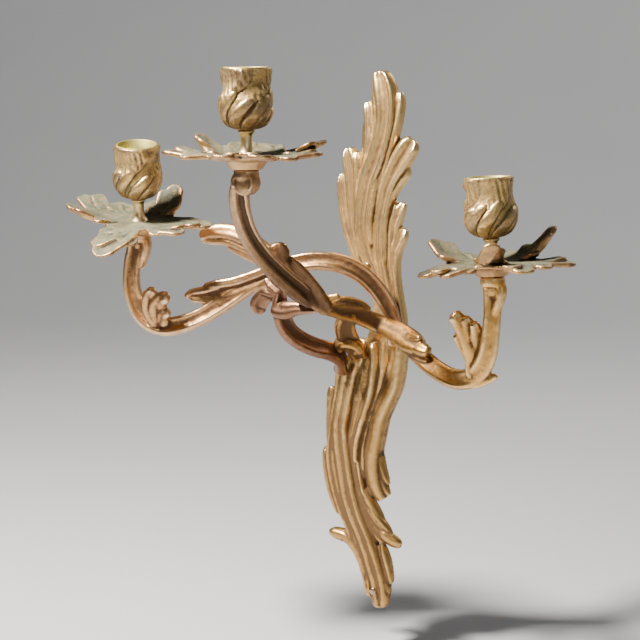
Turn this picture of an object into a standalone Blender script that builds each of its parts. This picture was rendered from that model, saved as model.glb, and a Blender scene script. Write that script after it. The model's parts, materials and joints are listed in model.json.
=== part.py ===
"""Three-light wall sconce in gilt bronze, in the rocaille style.

An S-shaped backplate of bundled acanthus ribs carries a left and a right arm and
a C-scroll bracket. The bracket and the right arm's tail hold the centre arm's
block well clear of the wall. Each arm ends in a volute. A threaded stud rises
from each volute through a leaf-shaped drip pan, a turned stem and the base of a
candle cup, whose bore holds a thin brass liner.

Frame: X to the right along the wall, Z up, the wall is the plane Y = 0 and the
sconce stands out towards -Y. Points are written (x, d, z) in millimetres, where
d is the distance from the wall.
"""

import math

import bmesh
import bpy
from mathutils import Matrix, Vector

MM = 0.001
GAP = 0.3

# Backplate
SHEET_BACK = 6.0
SHEET_FRONT = 11.0
RIB_AXIS = 9.87
SEAT = 14.0  # the flat level on which the feet of the arms and the bracket stand

# Candle units, measured along each unit's own axis from the pan's leaf plane
PAN_SHELL = 2.2
WELL_DEPTH = 7.0
WELL_FLOOR_RADIUS = 9.0
WELL_RIM_RADIUS = 13.0
PAN_NOTCH = 27.0
STEM_TOP = 17.0
STEM_FOOT_RADIUS = 7.6
CUP_HEIGHT = 41.0
CUP_RIM_RADIUS = 17.0
CUP_FLOOR = 8.0
LINER_WALL = 1.0
LINER_MOUTH_RADIUS = 15.0
LINER_FLOOR_RADIUS = 12.4
STUD_RADIUS = 2.5
STUD_HOLE_RADIUS = 2.8
STUD_BOTTOM = -24.0
STUD_TOP = STEM_TOP + 5.0
VOLUTE_RADIUS = 8.5
VOLUTE_CENTRE = -17.0
VOLUTE_HALF_DEPTH = 5.5

# Junction block at the root of the centre arm
BLOCK = (-6, 95, 30)
BLOCK_RADIUS = 8.0
PIN_RADIUS = 2.0
PIN_HOLE_RADIUS = 2.3
PIN_SPAN = (3.0, 15.0)
PIN_HOLE_SPAN = (PIN_SPAN[0] - GAP, PIN_SPAN[1] + GAP)
PIN_TOWARDS = {"right_arm": (-3.5, 78, 25.5), "bracket": (-20, 98.5, 38)}

# Screws from behind the backplate, at (x, z), each into the piece it is named for
FOOT_SCREWS = {"left_arm": (15, 5), "right_arm": (-17, -16), "bracket": (-30, -30)}
SCREW_RADIUS = 1.9
SCREW_HOLE_RADIUS = 2.2
SCREW_HEAD_RADIUS = 3.5
SCREW_HEAD = 3.0
SCREW_TIP = 20.5
SEAT_RADIUS = 6.5

# Pins from the front into the wall, at (x, z), and the pads that stand on the wall: low and high corners
WALL_PINS = {"upper": (-8, 50), "lower": (-2, -202)}
WALL_PIN_HEAD_RADIUS = 2.8
WALL_PIN_HEAD = 1.4
WALL_PIN_BACK = 0.5
PAD_FRONT = SHEET_BACK + 2
PADS = {
    "middle": ((-8, 0, -14), (8, PAD_FRONT, 14)),
    "upper": ((-14, 0, 43), (4, PAD_FRONT, 59)),
    "lower": ((-8, 0, -210), (4, PAD_FRONT, -194)),
}

# The curled leaf tip that hides the foot of the right arm's tail
KNOB = (-19, 25, -6)
KNOB_RADIUS = 6.5

# Candle units: place (x, d, z), lean in degrees towards (x, y), and the pan's lobes (bearing, reach, lift)
UNITS = {
    "left": {
        "place": (-157, 99, 85),
        "towards": (0.5, -0.87),
        "lean": 11,
        "lobes": [
            (21, 57, 0),
            (-18, 49, -3),
            (-62, 44, -6),
            (-106, 52, -2),
            (183, 54, 10),
            (146, 41, 2),
            (104, 44, 3),
            (63, 46, 15),
        ],
    },
    "centre": {
        "place": (2, 200, 144),
        "towards": (0.0, -1.0),
        "lean": 0,
        "lobes": [
            (39, 53, 9),
            (8, 53, -3),
            (-40, 44, -2),
            (-88, 42, -1),
            (208, 56, 0),
            (172, 38, 15),
            (135, 43, 6),
            (88, 44, 4),
        ],
    },
    "right": {
        "place": (135, 99, 70),
        "towards": (-1.0, 0.0),
        "lean": 3,
        "lobes": [
            (59, 51, 17),
            (12, 57, -2),
            (-38, 44, -3),
            (-92, 42, 10),
            (222, 50, -6),
            (184, 48, 11),
            (145, 43, 3),
            (102, 44, 4),
        ],
    },
}

# Outline of the backplate's leaf sheet, (x, z), clockwise from the top
OUTLINE = [
    (-2, 196), (6, 192), (11, 180), (16, 181), (17, 171), (12, 153), (22, 151), (29, 147),
    (24, 136), (15, 129), (23, 127), (20, 118), (8, 102), (20, 99), (18, 88), (14, 81),
    (21, 80), (15, 65), (14, 45), (19, 22), (22, 5), (21, -28), (15, -45), (8, -60),
    (4, -75), (1, -90), (4, -110), (9, -133), (-4, -129), (3, -148), (9, -157), (18, -165),
    (15, -170), (4, -167), (7, -183), (10, -196), (7, -207), (4, -218), (-4, -217), (-10, -208),
    (-13, -193), (-19, -177), (-32, -168), (-46, -163), (-40, -158), (-29, -157), (-36, -145), (-42, -130),
    (-46, -112), (-49, -97), (-44, -92), (-43, -78), (-46, -62), (-45, -47), (-38, -53), (-37, -40),
    (-37, -26), (-31, -21), (-27, -8), (-20, -1), (-9, -4), (-9, 20), (-18, 51), (-27, 72),
    (-33, 92), (-35, 112), (-32, 120), (-31, 133), (-27, 140), (-15, 131), (-14, 150), (-14, 170),
    (-9, 176), (-6, 186),
]  # fmt: skip

# Ribs on the sheet: (x, z, radius) along each
RIBS = [
    [(-1, 187, 2.5), (3, 160, 4), (2, 120, 4), (0, 80, 4), (0, 45, 4), (7, 20, 4), (14, -5, 4),
     (14, -30, 4), (5, -55, 4), (-2, -80, 3.5), (-3, -105, 3), (4, -128, 2.2)],
    [(-22, -14, 4), (-26, -40, 4), (-32, -60, 4), (-37, -85, 4), (-35, -112, 4), (-25, -142, 4),
     (-13, -167, 4), (-5, -190, 3.5), (-2, -211, 3)],
    [(-13, -26, 3.5), (-16, -50, 4), (-22, -75, 4), (-22, -105, 4), (-12, -135, 3.5), (5, -158, 2.5)],
    [(-26, 130, 2.5), (-23, 100, 3.5), (-14, 70, 4), (-7, 45, 3.5)],
    [(22, 143, 2.5), (13, 115, 3.5), (10, 85, 3.5), (8, 55, 3)],
    [(-40, -161, 2), (-26, -164, 3), (-14, -172, 2.5)],
]  # fmt: skip

# Sweeps: (x, d, z, half width, half thickness), with the direction that the face looks in
LEFT_ARM = [
    (16, 18, -3, 6, 5), (14, 18, 14, 6.5, 5), (8, 24, 32, 6.5, 5), (-3, 34, 47, 6.5, 5),
    (-17, 45, 55, 6.5, 5), (-35, 54, 56, 6.5, 5), (-53, 60, 51, 6, 5), (-75, 68, 39, 6, 5),
    (-98, 76, 22, 6, 5), (-120, 84, 9, 6, 5), (-141, 92, 4, 6.5, 5), (-157, 96, 12, 6.5, 5),
    (-164, 99, 31, 6, 5), (-164, 99, 50, 5.5, 5), (-160, 98, 66, 6.5, 6), (-159, 97, 74, 8, 7),
]  # fmt: skip
LEFT_LEAVES = [
    [(-52, 60, 53, 3, 3), (-75, 65, 58, 6, 4), (-98, 69, 67, 6.5, 3.5), (-120, 72, 72, 2.5, 2)],
    [(-62, 66, 45, 4, 4), (-85, 72, 40, 8, 4), (-106, 77, 33, 6, 4), (-126, 82, 29, 2, 2)],
    [(-149, 95, 8, 5, 4), (-141, 101, 18, 8, 4), (-134, 104, 28, 7, 3), (-138, 104, 38, 2, 2)],
]  # fmt: skip
CENTRE_ARM = [
    (-6, 95, 30, 7, 6), (-13, 105, 40, 7.5, 6), (-18, 125, 55, 6.5, 5), (-20, 145, 70, 6, 5),
    (-19, 165, 87, 6, 5), (-15, 180, 103, 6, 5), (-9, 191, 117, 6.5, 6), (-2, 198, 128, 8, 7),
]  # fmt: skip
CENTRE_LEAVES = [
    [(-10, 104, 38, 4, 4), (-18, 111, 56, 7, 4), (-26, 112, 77, 3, 2)],
    [(-5, 98, 33, 4, 4), (-9, 104, 47, 6, 3.5), (-17, 108, 67, 2, 2)],
]  # fmt: skip
RIGHT_ARM = [
    (-5.4, 89, 28.5, 4.5, 4), (-4, 80, 26, 4.5, 4), (-2, 66, 22, 5, 4), (3, 50, 18, 6, 4.5),
    (10, 37, 12, 6.5, 4.5), (21, 33, 7, 6.5, 5), (36, 38, 1, 6.5, 5), (52, 48, -6, 6.5, 5),
    (74, 62, -14, 6.5, 5), (98, 78, -17, 6.5, 5), (119, 90, -11, 6.5, 5), (131, 97, 4, 6, 5),
    (135, 99, 24, 5.5, 5), (136, 99, 42, 5.5, 5), (136, 99, 51, 6.5, 6), (136, 99, 59, 8, 7),
]  # fmt: skip
RIGHT_LEAVES = [
    [(121, 91, -10, 6, 4), (119, 97, 3, 7.5, 4.5), (118, 99, 15, 9.5, 4), (115, 100, 26, 8.5, 3.5),
     (111, 101, 36, 2.5, 2)],
    [(22, 36, 9, 6, 4), (38, 46, 6, 8, 4), (54, 56, 1, 6, 4), (67, 64, 4, 2.5, 2)],
    [(-2, 64, 24, 3, 3), (4, 52, 25, 5, 3.5), (11, 41, 19, 3, 2)],
    [(112, 87, -15, 4, 3), (124, 90, -14, 4, 3), (135, 91, -7, 2, 2)],
]  # fmt: skip
TAIL = [
    (-16, 18, -17, 6, 4.5), (-19, 26, -6, 6, 4.5), (-14, 40, 5, 5.5, 4), (-4, 54, 14, 5, 4),
    (3, 52, 18, 4, 3.5),
]  # fmt: skip
BRACKET = [
    (-30, 18, -31, 6, 5), (-32, 30, -24, 6, 5), (-33, 46, -18, 6, 4.5), (-37, 64, -9, 6, 4.5),
    (-42, 80, 3, 6, 4.5), (-43, 90, 17, 5.5, 4.5), (-40, 95, 30, 5.5, 4), (-33, 98, 38, 5, 4),
    (-23, 99, 39, 4.5, 3.5), (-15, 97, 35, 4, 3.5), (-10.5, 96, 32.5, 4, 3.5),
]  # fmt: skip
BRACKET_LEAVES = [
    [(-36, 97, 36, 4, 3), (-47, 95, 35, 6, 4), (-56, 92, 27, 5, 4), (-55, 92, 19, 2, 2)],
    [(-34, 97, 37, 3, 3), (-42, 96, 46, 4, 3), (-50, 95, 45, 2, 2)],
]  # fmt: skip
FACING = Vector((0.42, -0.86, 0.28))
TAIL_FACING = Vector((-0.3, -0.5, 0.8))

ARM_SECTION = [
    (-1.0, 0.1), (-0.82, 0.78), (-0.5, 1.0), (0.0, 0.45), (0.5, 1.0), (0.82, 0.78),
    (1.0, 0.1), (0.75, -0.8), (0.0, -1.0), (-0.75, -0.8),
]  # fmt: skip
LEAF_SECTION = [
    (-1.0, 0.0), (-0.6, 0.75), (0.0, 0.5), (0.6, 0.75), (1.0, 0.0), (0.6, -0.6),
    (0.0, -0.9), (-0.6, -0.6),
]  # fmt: skip

PARTS = {}


def at(x, d, z):
    """A point given by its distance from the wall, in metres."""
    return Vector((x, -d, z)) * MM


def clear_scene():
    for obj in list(bpy.data.objects):
        bpy.data.objects.remove(obj, do_unlink=True)


def new_collection(name):
    collection = bpy.data.collections.new(name)
    bpy.context.scene.collection.children.link(collection)
    return collection


def material(name, colour, roughness, metallic=1.0):
    made = bpy.data.materials.new(name)
    made.use_nodes = True
    shader = made.node_tree.nodes["Principled BSDF"]
    shader.inputs["Base Color"].default_value = colour
    shader.inputs["Roughness"].default_value = roughness
    shader.inputs["Metallic"].default_value = metallic
    return made


def mesh_object(name, form):
    """An object from a bmesh, with its normals outward."""
    bmesh.ops.recalc_face_normals(form, faces=form.faces)
    mesh = bpy.data.meshes.new(name)
    form.to_mesh(mesh)
    form.free()
    obj = bpy.data.objects.new(name, mesh)
    bpy.context.scene.collection.objects.link(obj)
    return obj


def evaluated_copy(obj, name):
    """The object with its modifiers or its curve made into a mesh. The original is removed."""
    bpy.context.view_layer.update()
    mesh = bpy.data.meshes.new_from_object(obj.evaluated_get(bpy.context.evaluated_depsgraph_get()))
    mesh.name = name
    copy = bpy.data.objects.new(name, mesh)
    copy.matrix_world = obj.matrix_world.copy()
    bpy.context.scene.collection.objects.link(copy)
    bpy.data.objects.remove(obj, do_unlink=True)
    return copy


def weld(obj, distance=1e-6):
    form = bmesh.new()
    form.from_mesh(obj.data)
    bmesh.ops.remove_doubles(form, verts=form.verts, dist=distance)
    bmesh.ops.recalc_face_normals(form, faces=form.faces)
    form.to_mesh(obj.data)
    form.free()
    return obj


def combined(base, others, operation):
    """The base with each of the others joined to it, or cut from it."""
    name = base.name
    for other in others:
        modifier = base.modifiers.new("boolean", "BOOLEAN")
        modifier.operation = operation
        modifier.object = other
        base = evaluated_copy(base, name)
        bpy.data.objects.remove(other, do_unlink=True)
    base.name = name
    return base


def catmull(before, start, end, after, t):
    return 0.5 * (
        2 * start
        + (end - before) * t
        + (2 * before - 5 * start + 4 * end - after) * t * t
        + (3 * start - before - 3 * end + after) * t * t * t
    )


def stations(rows, between):
    """Rows read from a smooth curve through the given ones, with this many steps between them."""
    last = len(rows) - 1
    found = []
    for i in range(last):
        near = [rows[max(i - 1, 0)], rows[i], rows[i + 1], rows[min(i + 2, last)]]
        for step in range(between):
            t = step / between
            found.append([catmull(*values, t) for values in zip(*near)])
    found.append(list(rows[-1]))
    return found


def sweep(name, rows, section, facing=FACING, between=2):
    """A section carried along the rows, its face turned towards one direction."""
    path = stations(rows, between)
    points = [at(*row[:3]) for row in path]
    form = bmesh.new()
    rings = []
    for i, row in enumerate(path):
        along = (points[min(i + 1, len(points) - 1)] - points[max(i - 1, 0)]).normalized()
        out = (facing - along * facing.dot(along)).normalized()
        across = along.cross(out)
        width, thickness = row[3] * MM, row[4] * MM
        rings.append([form.verts.new(points[i] + across * a * width + out * b * thickness) for a, b in section])
    for ring, following in zip(rings, rings[1:]):
        for j in range(len(section)):
            k = (j + 1) % len(section)
            form.faces.new((ring[j], ring[k], following[k], following[j]))
    form.faces.new(rings[0])
    form.faces.new(rings[-1])
    return mesh_object(name, form)


def cylinder(name, radius, start, end, frame=None, sides=16):
    """A cylinder between two points in metres, or two heights in millimetres along a frame's axis."""
    if frame is not None:
        start = frame @ Vector((0, 0, start * MM))
        end = frame @ Vector((0, 0, end * MM))
    axis = end - start
    form = bmesh.new()
    turn = Vector((0, 0, 1)).rotation_difference(axis).to_matrix().to_4x4()
    place = Matrix.Translation((start + end) / 2) @ turn
    bmesh.ops.create_cone(
        form, cap_ends=True, segments=sides, radius1=radius * MM, radius2=radius * MM,
        depth=axis.length, matrix=place,
    )  # fmt: skip
    return mesh_object(name, form)


def ball(name, radius, centre):
    form = bmesh.new()
    place = Matrix.Translation(at(*centre))
    bmesh.ops.create_uvsphere(form, u_segments=16, v_segments=10, radius=radius * MM, matrix=place)
    return mesh_object(name, form)


def block(name, low, high):
    """A box between two corners (x, d, z)."""
    a, b = at(*low), at(*high)
    form = bmesh.new()
    size = Matrix.Diagonal((*(abs(v) for v in b - a), 1))
    bmesh.ops.create_cube(form, size=1, matrix=Matrix.Translation((a + b) / 2) @ size)
    return mesh_object(name, form)


def turned(name, profile, steps):
    """A profile (radius, height) in millimetres turned about Z with a Screw modifier."""
    mesh = bpy.data.meshes.new(name)
    points = [(radius * MM, 0, height * MM) for radius, height in profile]
    closed = profile[0][0] > 0
    count = len(points)
    edges = [(i, (i + 1) % count) for i in range(count if closed else count - 1)]
    mesh.from_pydata(points, edges, [])
    obj = bpy.data.objects.new(name, mesh)
    bpy.context.scene.collection.objects.link(obj)
    screw = obj.modifiers.new("screw", "SCREW")
    screw.steps = steps
    screw.render_steps = steps
    screw.use_merge_vertices = True
    screw.merge_threshold = 1e-5
    return weld(evaluated_copy(obj, name))


def tube_along(name, rows):
    """A round rib with a radius at each (x, z) point, as a curve with a bevel."""
    curve = bpy.data.curves.new(name, "CURVE")
    curve.dimensions = "3D"
    curve.bevel_depth = MM
    curve.bevel_resolution = 1
    curve.use_fill_caps = True
    path = stations(rows, 2)
    spline = curve.splines.new("POLY")
    spline.points.add(len(path) - 1)
    for point, (x, z, radius) in zip(spline.points, path):
        point.co = (*at(x, RIB_AXIS, z), 1)
        point.radius = radius
    obj = bpy.data.objects.new(name, curve)
    bpy.context.scene.collection.objects.link(obj)
    return weld(evaluated_copy(obj, name))


def leaf_sheet(name):
    """The backplate's flat outline, extruded between its back and front levels."""
    curve = bpy.data.curves.new(name, "CURVE")
    curve.dimensions = "2D"
    curve.fill_mode = "BOTH"
    curve.extrude = (SHEET_FRONT - SHEET_BACK) / 2 * MM
    spline = curve.splines.new("POLY")
    spline.points.add(len(OUTLINE) - 1)
    spline.use_cyclic_u = True
    for point, (x, z) in zip(spline.points, OUTLINE):
        point.co = (x * MM, z * MM, 0, 1)
    obj = bpy.data.objects.new(name, curve)
    obj.rotation_euler = (math.radians(90), 0, 0)
    obj.location = at(0, (SHEET_FRONT + SHEET_BACK) / 2, 0)
    bpy.context.scene.collection.objects.link(obj)
    copy = evaluated_copy(obj, name)
    copy.data.transform(copy.matrix_world)
    copy.matrix_world = Matrix()
    return weld(copy)


def finish(obj, name, look, parent=None):
    """Names a piece, gives it its material, shades it and files it with the sconce."""
    obj.name = name
    obj.data.name = name
    obj.data.materials.clear()
    obj.data.materials.append(look)
    obj.data.shade_smooth()
    obj.data.set_sharp_from_angle(angle=math.radians(40))
    for collection in list(obj.users_collection):
        collection.objects.unlink(obj)
    PARTS["collection"].objects.link(obj)
    if parent is not None:
        obj.parent = parent
    return obj


def screw_shape(x, z):
    """A screw from behind the sheet: a round head in the gap to the wall and a plain shank."""
    head_front = SHEET_BACK - GAP
    head = cylinder("head", SCREW_HEAD_RADIUS, at(x, head_front - SCREW_HEAD, z), at(x, head_front, z))
    shank = cylinder("shank", SCREW_RADIUS, at(x, head_front - 1, z), at(x, SCREW_TIP, z), sides=12)
    return combined(head, [shank], "UNION")


def unit_frame(place, lean_towards, degrees):
    """The frame of one candle unit: its origin on the pan's plane, its Z along the stud."""
    axis = Vector((lean_towards[1], -lean_towards[0], 0)).normalized()
    turn = Matrix.Rotation(math.radians(-degrees), 4, axis)
    return Matrix.Translation(at(*place)) @ turn


def build_backplate(look):
    plate = leaf_sheet("backplate")
    ribs = [tube_along(f"rib_{i}", rows) for i, rows in enumerate(RIBS)]
    pads = [block(f"{name}_pad", low, high) for name, (low, high) in PADS.items()]
    seats = [
        cylinder("seat", SEAT_RADIUS, at(x, SHEET_BACK + 1, z), at(x, SEAT, z))
        for x, z in FOOT_SCREWS.values()
    ]
    plate = combined(plate, ribs + pads + seats, "UNION")
    holes = [
        cylinder("hole", SCREW_HOLE_RADIUS, at(x, -1, z), at(x, SEAT + 5, z), sides=12)
        for x, z in [*FOOT_SCREWS.values(), *WALL_PINS.values()]
    ]
    plate = combined(plate, holes, "DIFFERENCE")
    return finish(plate, "backplate", look)


def build_wall_pins(look):
    """The two pins through the backplate's holes, cut off at the wall's plane."""
    under_head = SEAT + GAP
    for name, (x, z) in WALL_PINS.items():
        shank = cylinder("shank", SCREW_RADIUS, at(x, WALL_PIN_BACK, z), at(x, SEAT + 1, z), sides=12)
        head = cylinder("head", WALL_PIN_HEAD_RADIUS, at(x, under_head, z), at(x, under_head + WALL_PIN_HEAD, z))
        finish(combined(head, [shank], "UNION"), f"wall_pin_{name}", look)


def build_foot_screws(look):
    for name, (x, z) in FOOT_SCREWS.items():
        finish(screw_shape(x, z), f"{name}_screw", look)


def foot_cutters():
    """What the backplate and its screws take away from a foot that stands on it."""
    slab = block("slab", (-100, -20, -250), (100, SEAT + GAP, 250))
    holes = [
        cylinder("hole", SCREW_HOLE_RADIUS, at(x, 0, z), at(x, SCREW_TIP + GAP, z), sides=12)
        for x, z in FOOT_SCREWS.values()
    ]
    return [slab, *holes]


def volute(frame):
    """The rolled end of an arm, with a flat seat under the drip pan and a hole for the stud."""
    under_pan = -WELL_DEPTH - PAN_SHELL - GAP
    seat = cylinder("seat", WELL_FLOOR_RADIUS - 0.5, VOLUTE_CENTRE, under_pan, frame)
    roll_axis = Vector((0.5, -0.87, 0)) * VOLUTE_HALF_DEPTH * MM
    middle = frame @ Vector((0, 0, VOLUTE_CENTRE * MM))
    roll = cylinder("roll", VOLUTE_RADIUS, middle - roll_axis, middle + roll_axis)
    return [seat, roll]


def stud_hole(frame):
    return cylinder("stud_hole", STUD_HOLE_RADIUS, STUD_BOTTOM - 2, 10, frame, sides=12)


def above_seat(frame):
    """A wide cutter that keeps an arm below its drip pan."""
    return cylinder("above", 40, -WELL_DEPTH - PAN_SHELL - GAP, 20, frame)


def direction(start, end):
    return (at(*end) - at(*start)).normalized()


def pin_shape(name, towards, radius, span):
    """A pin from inside the junction block out towards a point."""
    middle = at(*BLOCK)
    way = direction(BLOCK, towards)
    return cylinder(name, radius, middle + way * span[0] * MM, middle + way * span[1] * MM, sides=12)


def grown(rows, by=0.6):
    """The same sweep rows with a little more width and thickness."""
    return [(*row[:3], row[3] + by, row[4] + by) for row in rows]


def root_clearance():
    """Cutters a little larger than the junction block, the centre arm's root and its leaves."""
    cutters = [ball("block", BLOCK_RADIUS + GAP, BLOCK)]
    cutters.append(sweep("root", grown(CENTRE_ARM[:4]), ARM_SECTION))
    cutters += [sweep("leaf", grown(rows), LEAF_SECTION) for rows in CENTRE_LEAVES]
    return cutters


def build_arms(look, frames):
    left = sweep("left", LEFT_ARM, ARM_SECTION, between=1)
    leaves = [sweep("leaf", rows, LEAF_SECTION) for rows in LEFT_LEAVES]
    left = combined(left, leaves + volute(frames["left"]), "UNION")
    cutters = foot_cutters() + [above_seat(frames["left"]), stud_hole(frames["left"])]
    finish(combined(left, cutters, "DIFFERENCE"), "left_arm", look)

    centre = sweep("centre", CENTRE_ARM, ARM_SECTION)
    leaves = [sweep("leaf", rows, LEAF_SECTION) for rows in CENTRE_LEAVES]
    joined = [ball("block", BLOCK_RADIUS, BLOCK)] + leaves + volute(frames["centre"])
    centre = combined(centre, joined, "UNION")
    pins = [pin_shape("pin", to, PIN_HOLE_RADIUS, PIN_HOLE_SPAN) for to in PIN_TOWARDS.values()]
    cutters = pins + [above_seat(frames["centre"]), stud_hole(frames["centre"])]
    finish(combined(centre, cutters, "DIFFERENCE"), "centre_arm", look)

    right = sweep("right", RIGHT_ARM, ARM_SECTION, between=1)
    tail = sweep("tail", TAIL, ARM_SECTION, TAIL_FACING, between=1)
    leaves = [sweep("leaf", rows, LEAF_SECTION) for rows in RIGHT_LEAVES]
    knob = ball("knob", KNOB_RADIUS, KNOB)
    right = combined(right, [tail, knob] + leaves + volute(frames["right"]), "UNION")
    cutters = foot_cutters() + [above_seat(frames["right"]), stud_hole(frames["right"])]
    cutters += root_clearance()
    cutters.append(pin_shape("pin", PIN_TOWARDS["right_arm"], PIN_HOLE_RADIUS, PIN_HOLE_SPAN))
    finish(combined(right, cutters, "DIFFERENCE"), "right_arm", look)

    bracket = sweep("bracket", BRACKET, ARM_SECTION, between=1)
    leaves = [sweep("leaf", rows, LEAF_SECTION) for rows in BRACKET_LEAVES]
    bracket = combined(bracket, leaves, "UNION")
    cutters = foot_cutters() + root_clearance()
    cutters.append(pin_shape("pin", PIN_TOWARDS["bracket"], PIN_HOLE_RADIUS, PIN_HOLE_SPAN))
    finish(combined(bracket, cutters, "DIFFERENCE"), "scroll_bracket", look)


def build_pins(look):
    for name, towards in PIN_TOWARDS.items():
        finish(pin_shape("pin", towards, PIN_RADIUS, PIN_SPAN), f"junction_pin_{name}", look)


def lobe_weight(bearing, lobe_bearing, half_width=24.0):
    """1 on a lobe's centre line, falling to 0 at half_width degrees from it."""
    away = abs((bearing - lobe_bearing + 180) % 360 - 180)
    return max(0.0, math.cos(min(away / half_width, 1.0) * math.pi / 2))


def pan_edge(bearing, lobes):
    """The pan's reach at a bearing and how far its edge is lifted there."""
    reach, lift = PAN_NOTCH, 0.0
    for lobe_bearing, lobe_reach, lobe_lift in lobes:
        weight = lobe_weight(bearing, lobe_bearing)
        reach = max(reach, PAN_NOTCH + (lobe_reach - PAN_NOTCH) * weight**0.7)
        lift += lobe_lift * weight
    return reach, lift


def build_pan(name, lobes, look, parent):
    """A dished well and a ring of leaf lobes as one open surface, thickened downwards."""
    form = bmesh.new()
    bearings = 40
    rings = []
    well = [(STUD_HOLE_RADIUS, -WELL_DEPTH), (WELL_FLOOR_RADIUS, -WELL_DEPTH), (WELL_RIM_RADIUS, -0.8)]
    for radius, height in well:
        ring = []
        for i in range(bearings):
            angle = math.radians(360 * i / bearings)
            ring.append(form.verts.new(Vector((radius * math.cos(angle), radius * math.sin(angle), height)) * MM))
        rings.append(ring)
    for share in (0.45, 0.78, 1.0):
        ring = []
        for i in range(bearings):
            bearing = 360 * i / bearings
            angle = math.radians(bearing)
            reach, lift = pan_edge(bearing, lobes)
            radius = WELL_RIM_RADIUS + (reach - WELL_RIM_RADIUS) * share
            height = lift * share**2.2
            ring.append(form.verts.new(Vector((radius * math.cos(angle), radius * math.sin(angle), height)) * MM))
        rings.append(ring)
    for ring, following in zip(rings, rings[1:]):
        for j in range(bearings):
            k = (j + 1) % bearings
            form.faces.new((ring[j], following[j], following[k], ring[k]))
    mesh = bpy.data.meshes.new(name)
    form.to_mesh(mesh)
    form.free()
    pan = bpy.data.objects.new(name, mesh)
    bpy.context.scene.collection.objects.link(pan)
    shell = pan.modifiers.new("solidify", "SOLIDIFY")
    shell.thickness = PAN_SHELL * MM
    shell.offset = -1.0
    finish(evaluated_copy(pan, name), name, look, parent)


def build_stem(name, look, parent):
    foot = -WELL_DEPTH + GAP
    profile = [
        (STUD_HOLE_RADIUS, STEM_TOP - GAP),
        (5.4, STEM_TOP - GAP),
        (5.6, STEM_TOP - 1.6),
        (4.6, STEM_TOP - 2.8),
        (4.2, STEM_TOP - 6.0),
        (4.3, 6.0),
        (5.0, 2.5),
        (7.2, -0.5),
        (STEM_FOOT_RADIUS, -3.0),
        (STEM_FOOT_RADIUS, foot),
        (STUD_HOLE_RADIUS, foot),
    ]
    finish(turned(name, profile, 20), name, look, parent)


def liner_radius(height):
    """The liner's outer radius at a height above the cup's base."""
    share = (height - CUP_FLOOR) / (CUP_HEIGHT - CUP_FLOOR)
    return LINER_FLOOR_RADIUS + (LINER_MOUTH_RADIUS - LINER_FLOOR_RADIUS) * share


def build_cup(name, look, parent):
    """A bulbous cup with twisted gadroons on its outer side."""
    mouth = liner_radius(CUP_HEIGHT) + GAP
    floor = liner_radius(CUP_FLOOR) + GAP
    profile = [
        (0, CUP_FLOOR),
        (floor, CUP_FLOOR),
        (mouth, CUP_HEIGHT),
        (CUP_RIM_RADIUS, CUP_HEIGHT),
        (16.7, 36),
        (16.2, 31),
        (16.4, 26),
        (17.2, 21),
        (17.8, 16),
        (17.2, 10),
        (14.4, 4.6),
        (9.0, 0.9),
        (6.0, 0),
        (STUD_HOLE_RADIUS, 0),
        (STUD_HOLE_RADIUS, 5.3),
        (0, 5.3),
    ]
    cup = turned(name, profile, 28)
    for vertex in cup.data.vertices:
        radius = math.hypot(vertex.co.x, vertex.co.y) / MM
        height = vertex.co.z / MM
        outer = radius > liner_radius(height) + 1.2 and 1 < height < CUP_HEIGHT - 1
        if height < CUP_FLOOR:
            outer = radius > 7 and height > 0.3
        if not outer:
            continue
        swell = math.sin(math.pi * min(height / 30, 1)) ** 0.7
        angle = math.atan2(vertex.co.y, vertex.co.x)
        wave = math.cos(7 * angle - height * 0.11)
        share = 1 + 0.035 * swell * wave
        vertex.co.x *= share
        vertex.co.y *= share
    cup.data.transform(Matrix.Translation((0, 0, STEM_TOP * MM)))
    finish(cup, name, look, parent)


def build_liner(name, look, parent):
    """A thin tapered tube with a closed floor, standing in the cup's bore."""
    foot = CUP_FLOOR + GAP
    top = CUP_HEIGHT + 0.4
    profile = [
        (0, foot + LINER_WALL),
        (liner_radius(foot) - LINER_WALL, foot + LINER_WALL),
        (liner_radius(top) - LINER_WALL, top),
        (liner_radius(top), top),
        (liner_radius(foot), foot),
        (0, foot),
    ]
    liner = turned(name, profile, 24)
    liner.data.transform(Matrix.Translation((0, 0, STEM_TOP * MM)))
    finish(liner, name, look, parent)


def build_unit(name, frame, lobes, looks):
    axis = bpy.data.objects.new(f"axis_{name}", None)
    axis.matrix_world = frame
    PARTS["collection"].objects.link(axis)
    build_pan(f"drip_pan_{name}", lobes, looks["pan"], axis)
    build_stem(f"stem_{name}", looks["brass"], axis)
    build_cup(f"candle_cup_{name}", looks["gilt"], axis)
    build_liner(f"cup_liner_{name}", looks["liner"], axis)
    stud = cylinder("stud", STUD_RADIUS, at(0, 0, STUD_BOTTOM), at(0, 0, STUD_TOP), sides=12)
    finish(stud, f"stud_{name}", looks["steel"], axis)


def main():
    clear_scene()
    PARTS["collection"] = new_collection("wall_sconce")
    looks = {
        "gilt": material("gilt_bronze", (0.72, 0.47, 0.17, 1), 0.38),
        "copper": material("worn_bronze", (0.52, 0.30, 0.14, 1), 0.42),
        "pan": material("green_bronze", (0.30, 0.29, 0.20, 1), 0.6),
        "brass": material("pale_brass", (0.80, 0.66, 0.40, 1), 0.25),
        "liner": material("yellow_brass", (0.66, 0.58, 0.24, 1), 0.4),
        "steel": material("steel", (0.45, 0.44, 0.42, 1), 0.4),
    }
    frames = {}
    for name, unit in UNITS.items():
        frames[name] = unit_frame(unit["place"], unit["towards"], unit["lean"])
    build_backplate(looks["gilt"])
    build_wall_pins(looks["brass"])
    build_foot_screws(looks["steel"])
    build_arms(looks["copper"], frames)
    build_pins(looks["steel"])
    for name, unit in UNITS.items():
        build_unit(name, frames[name], unit["lobes"], looks)


main()
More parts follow.
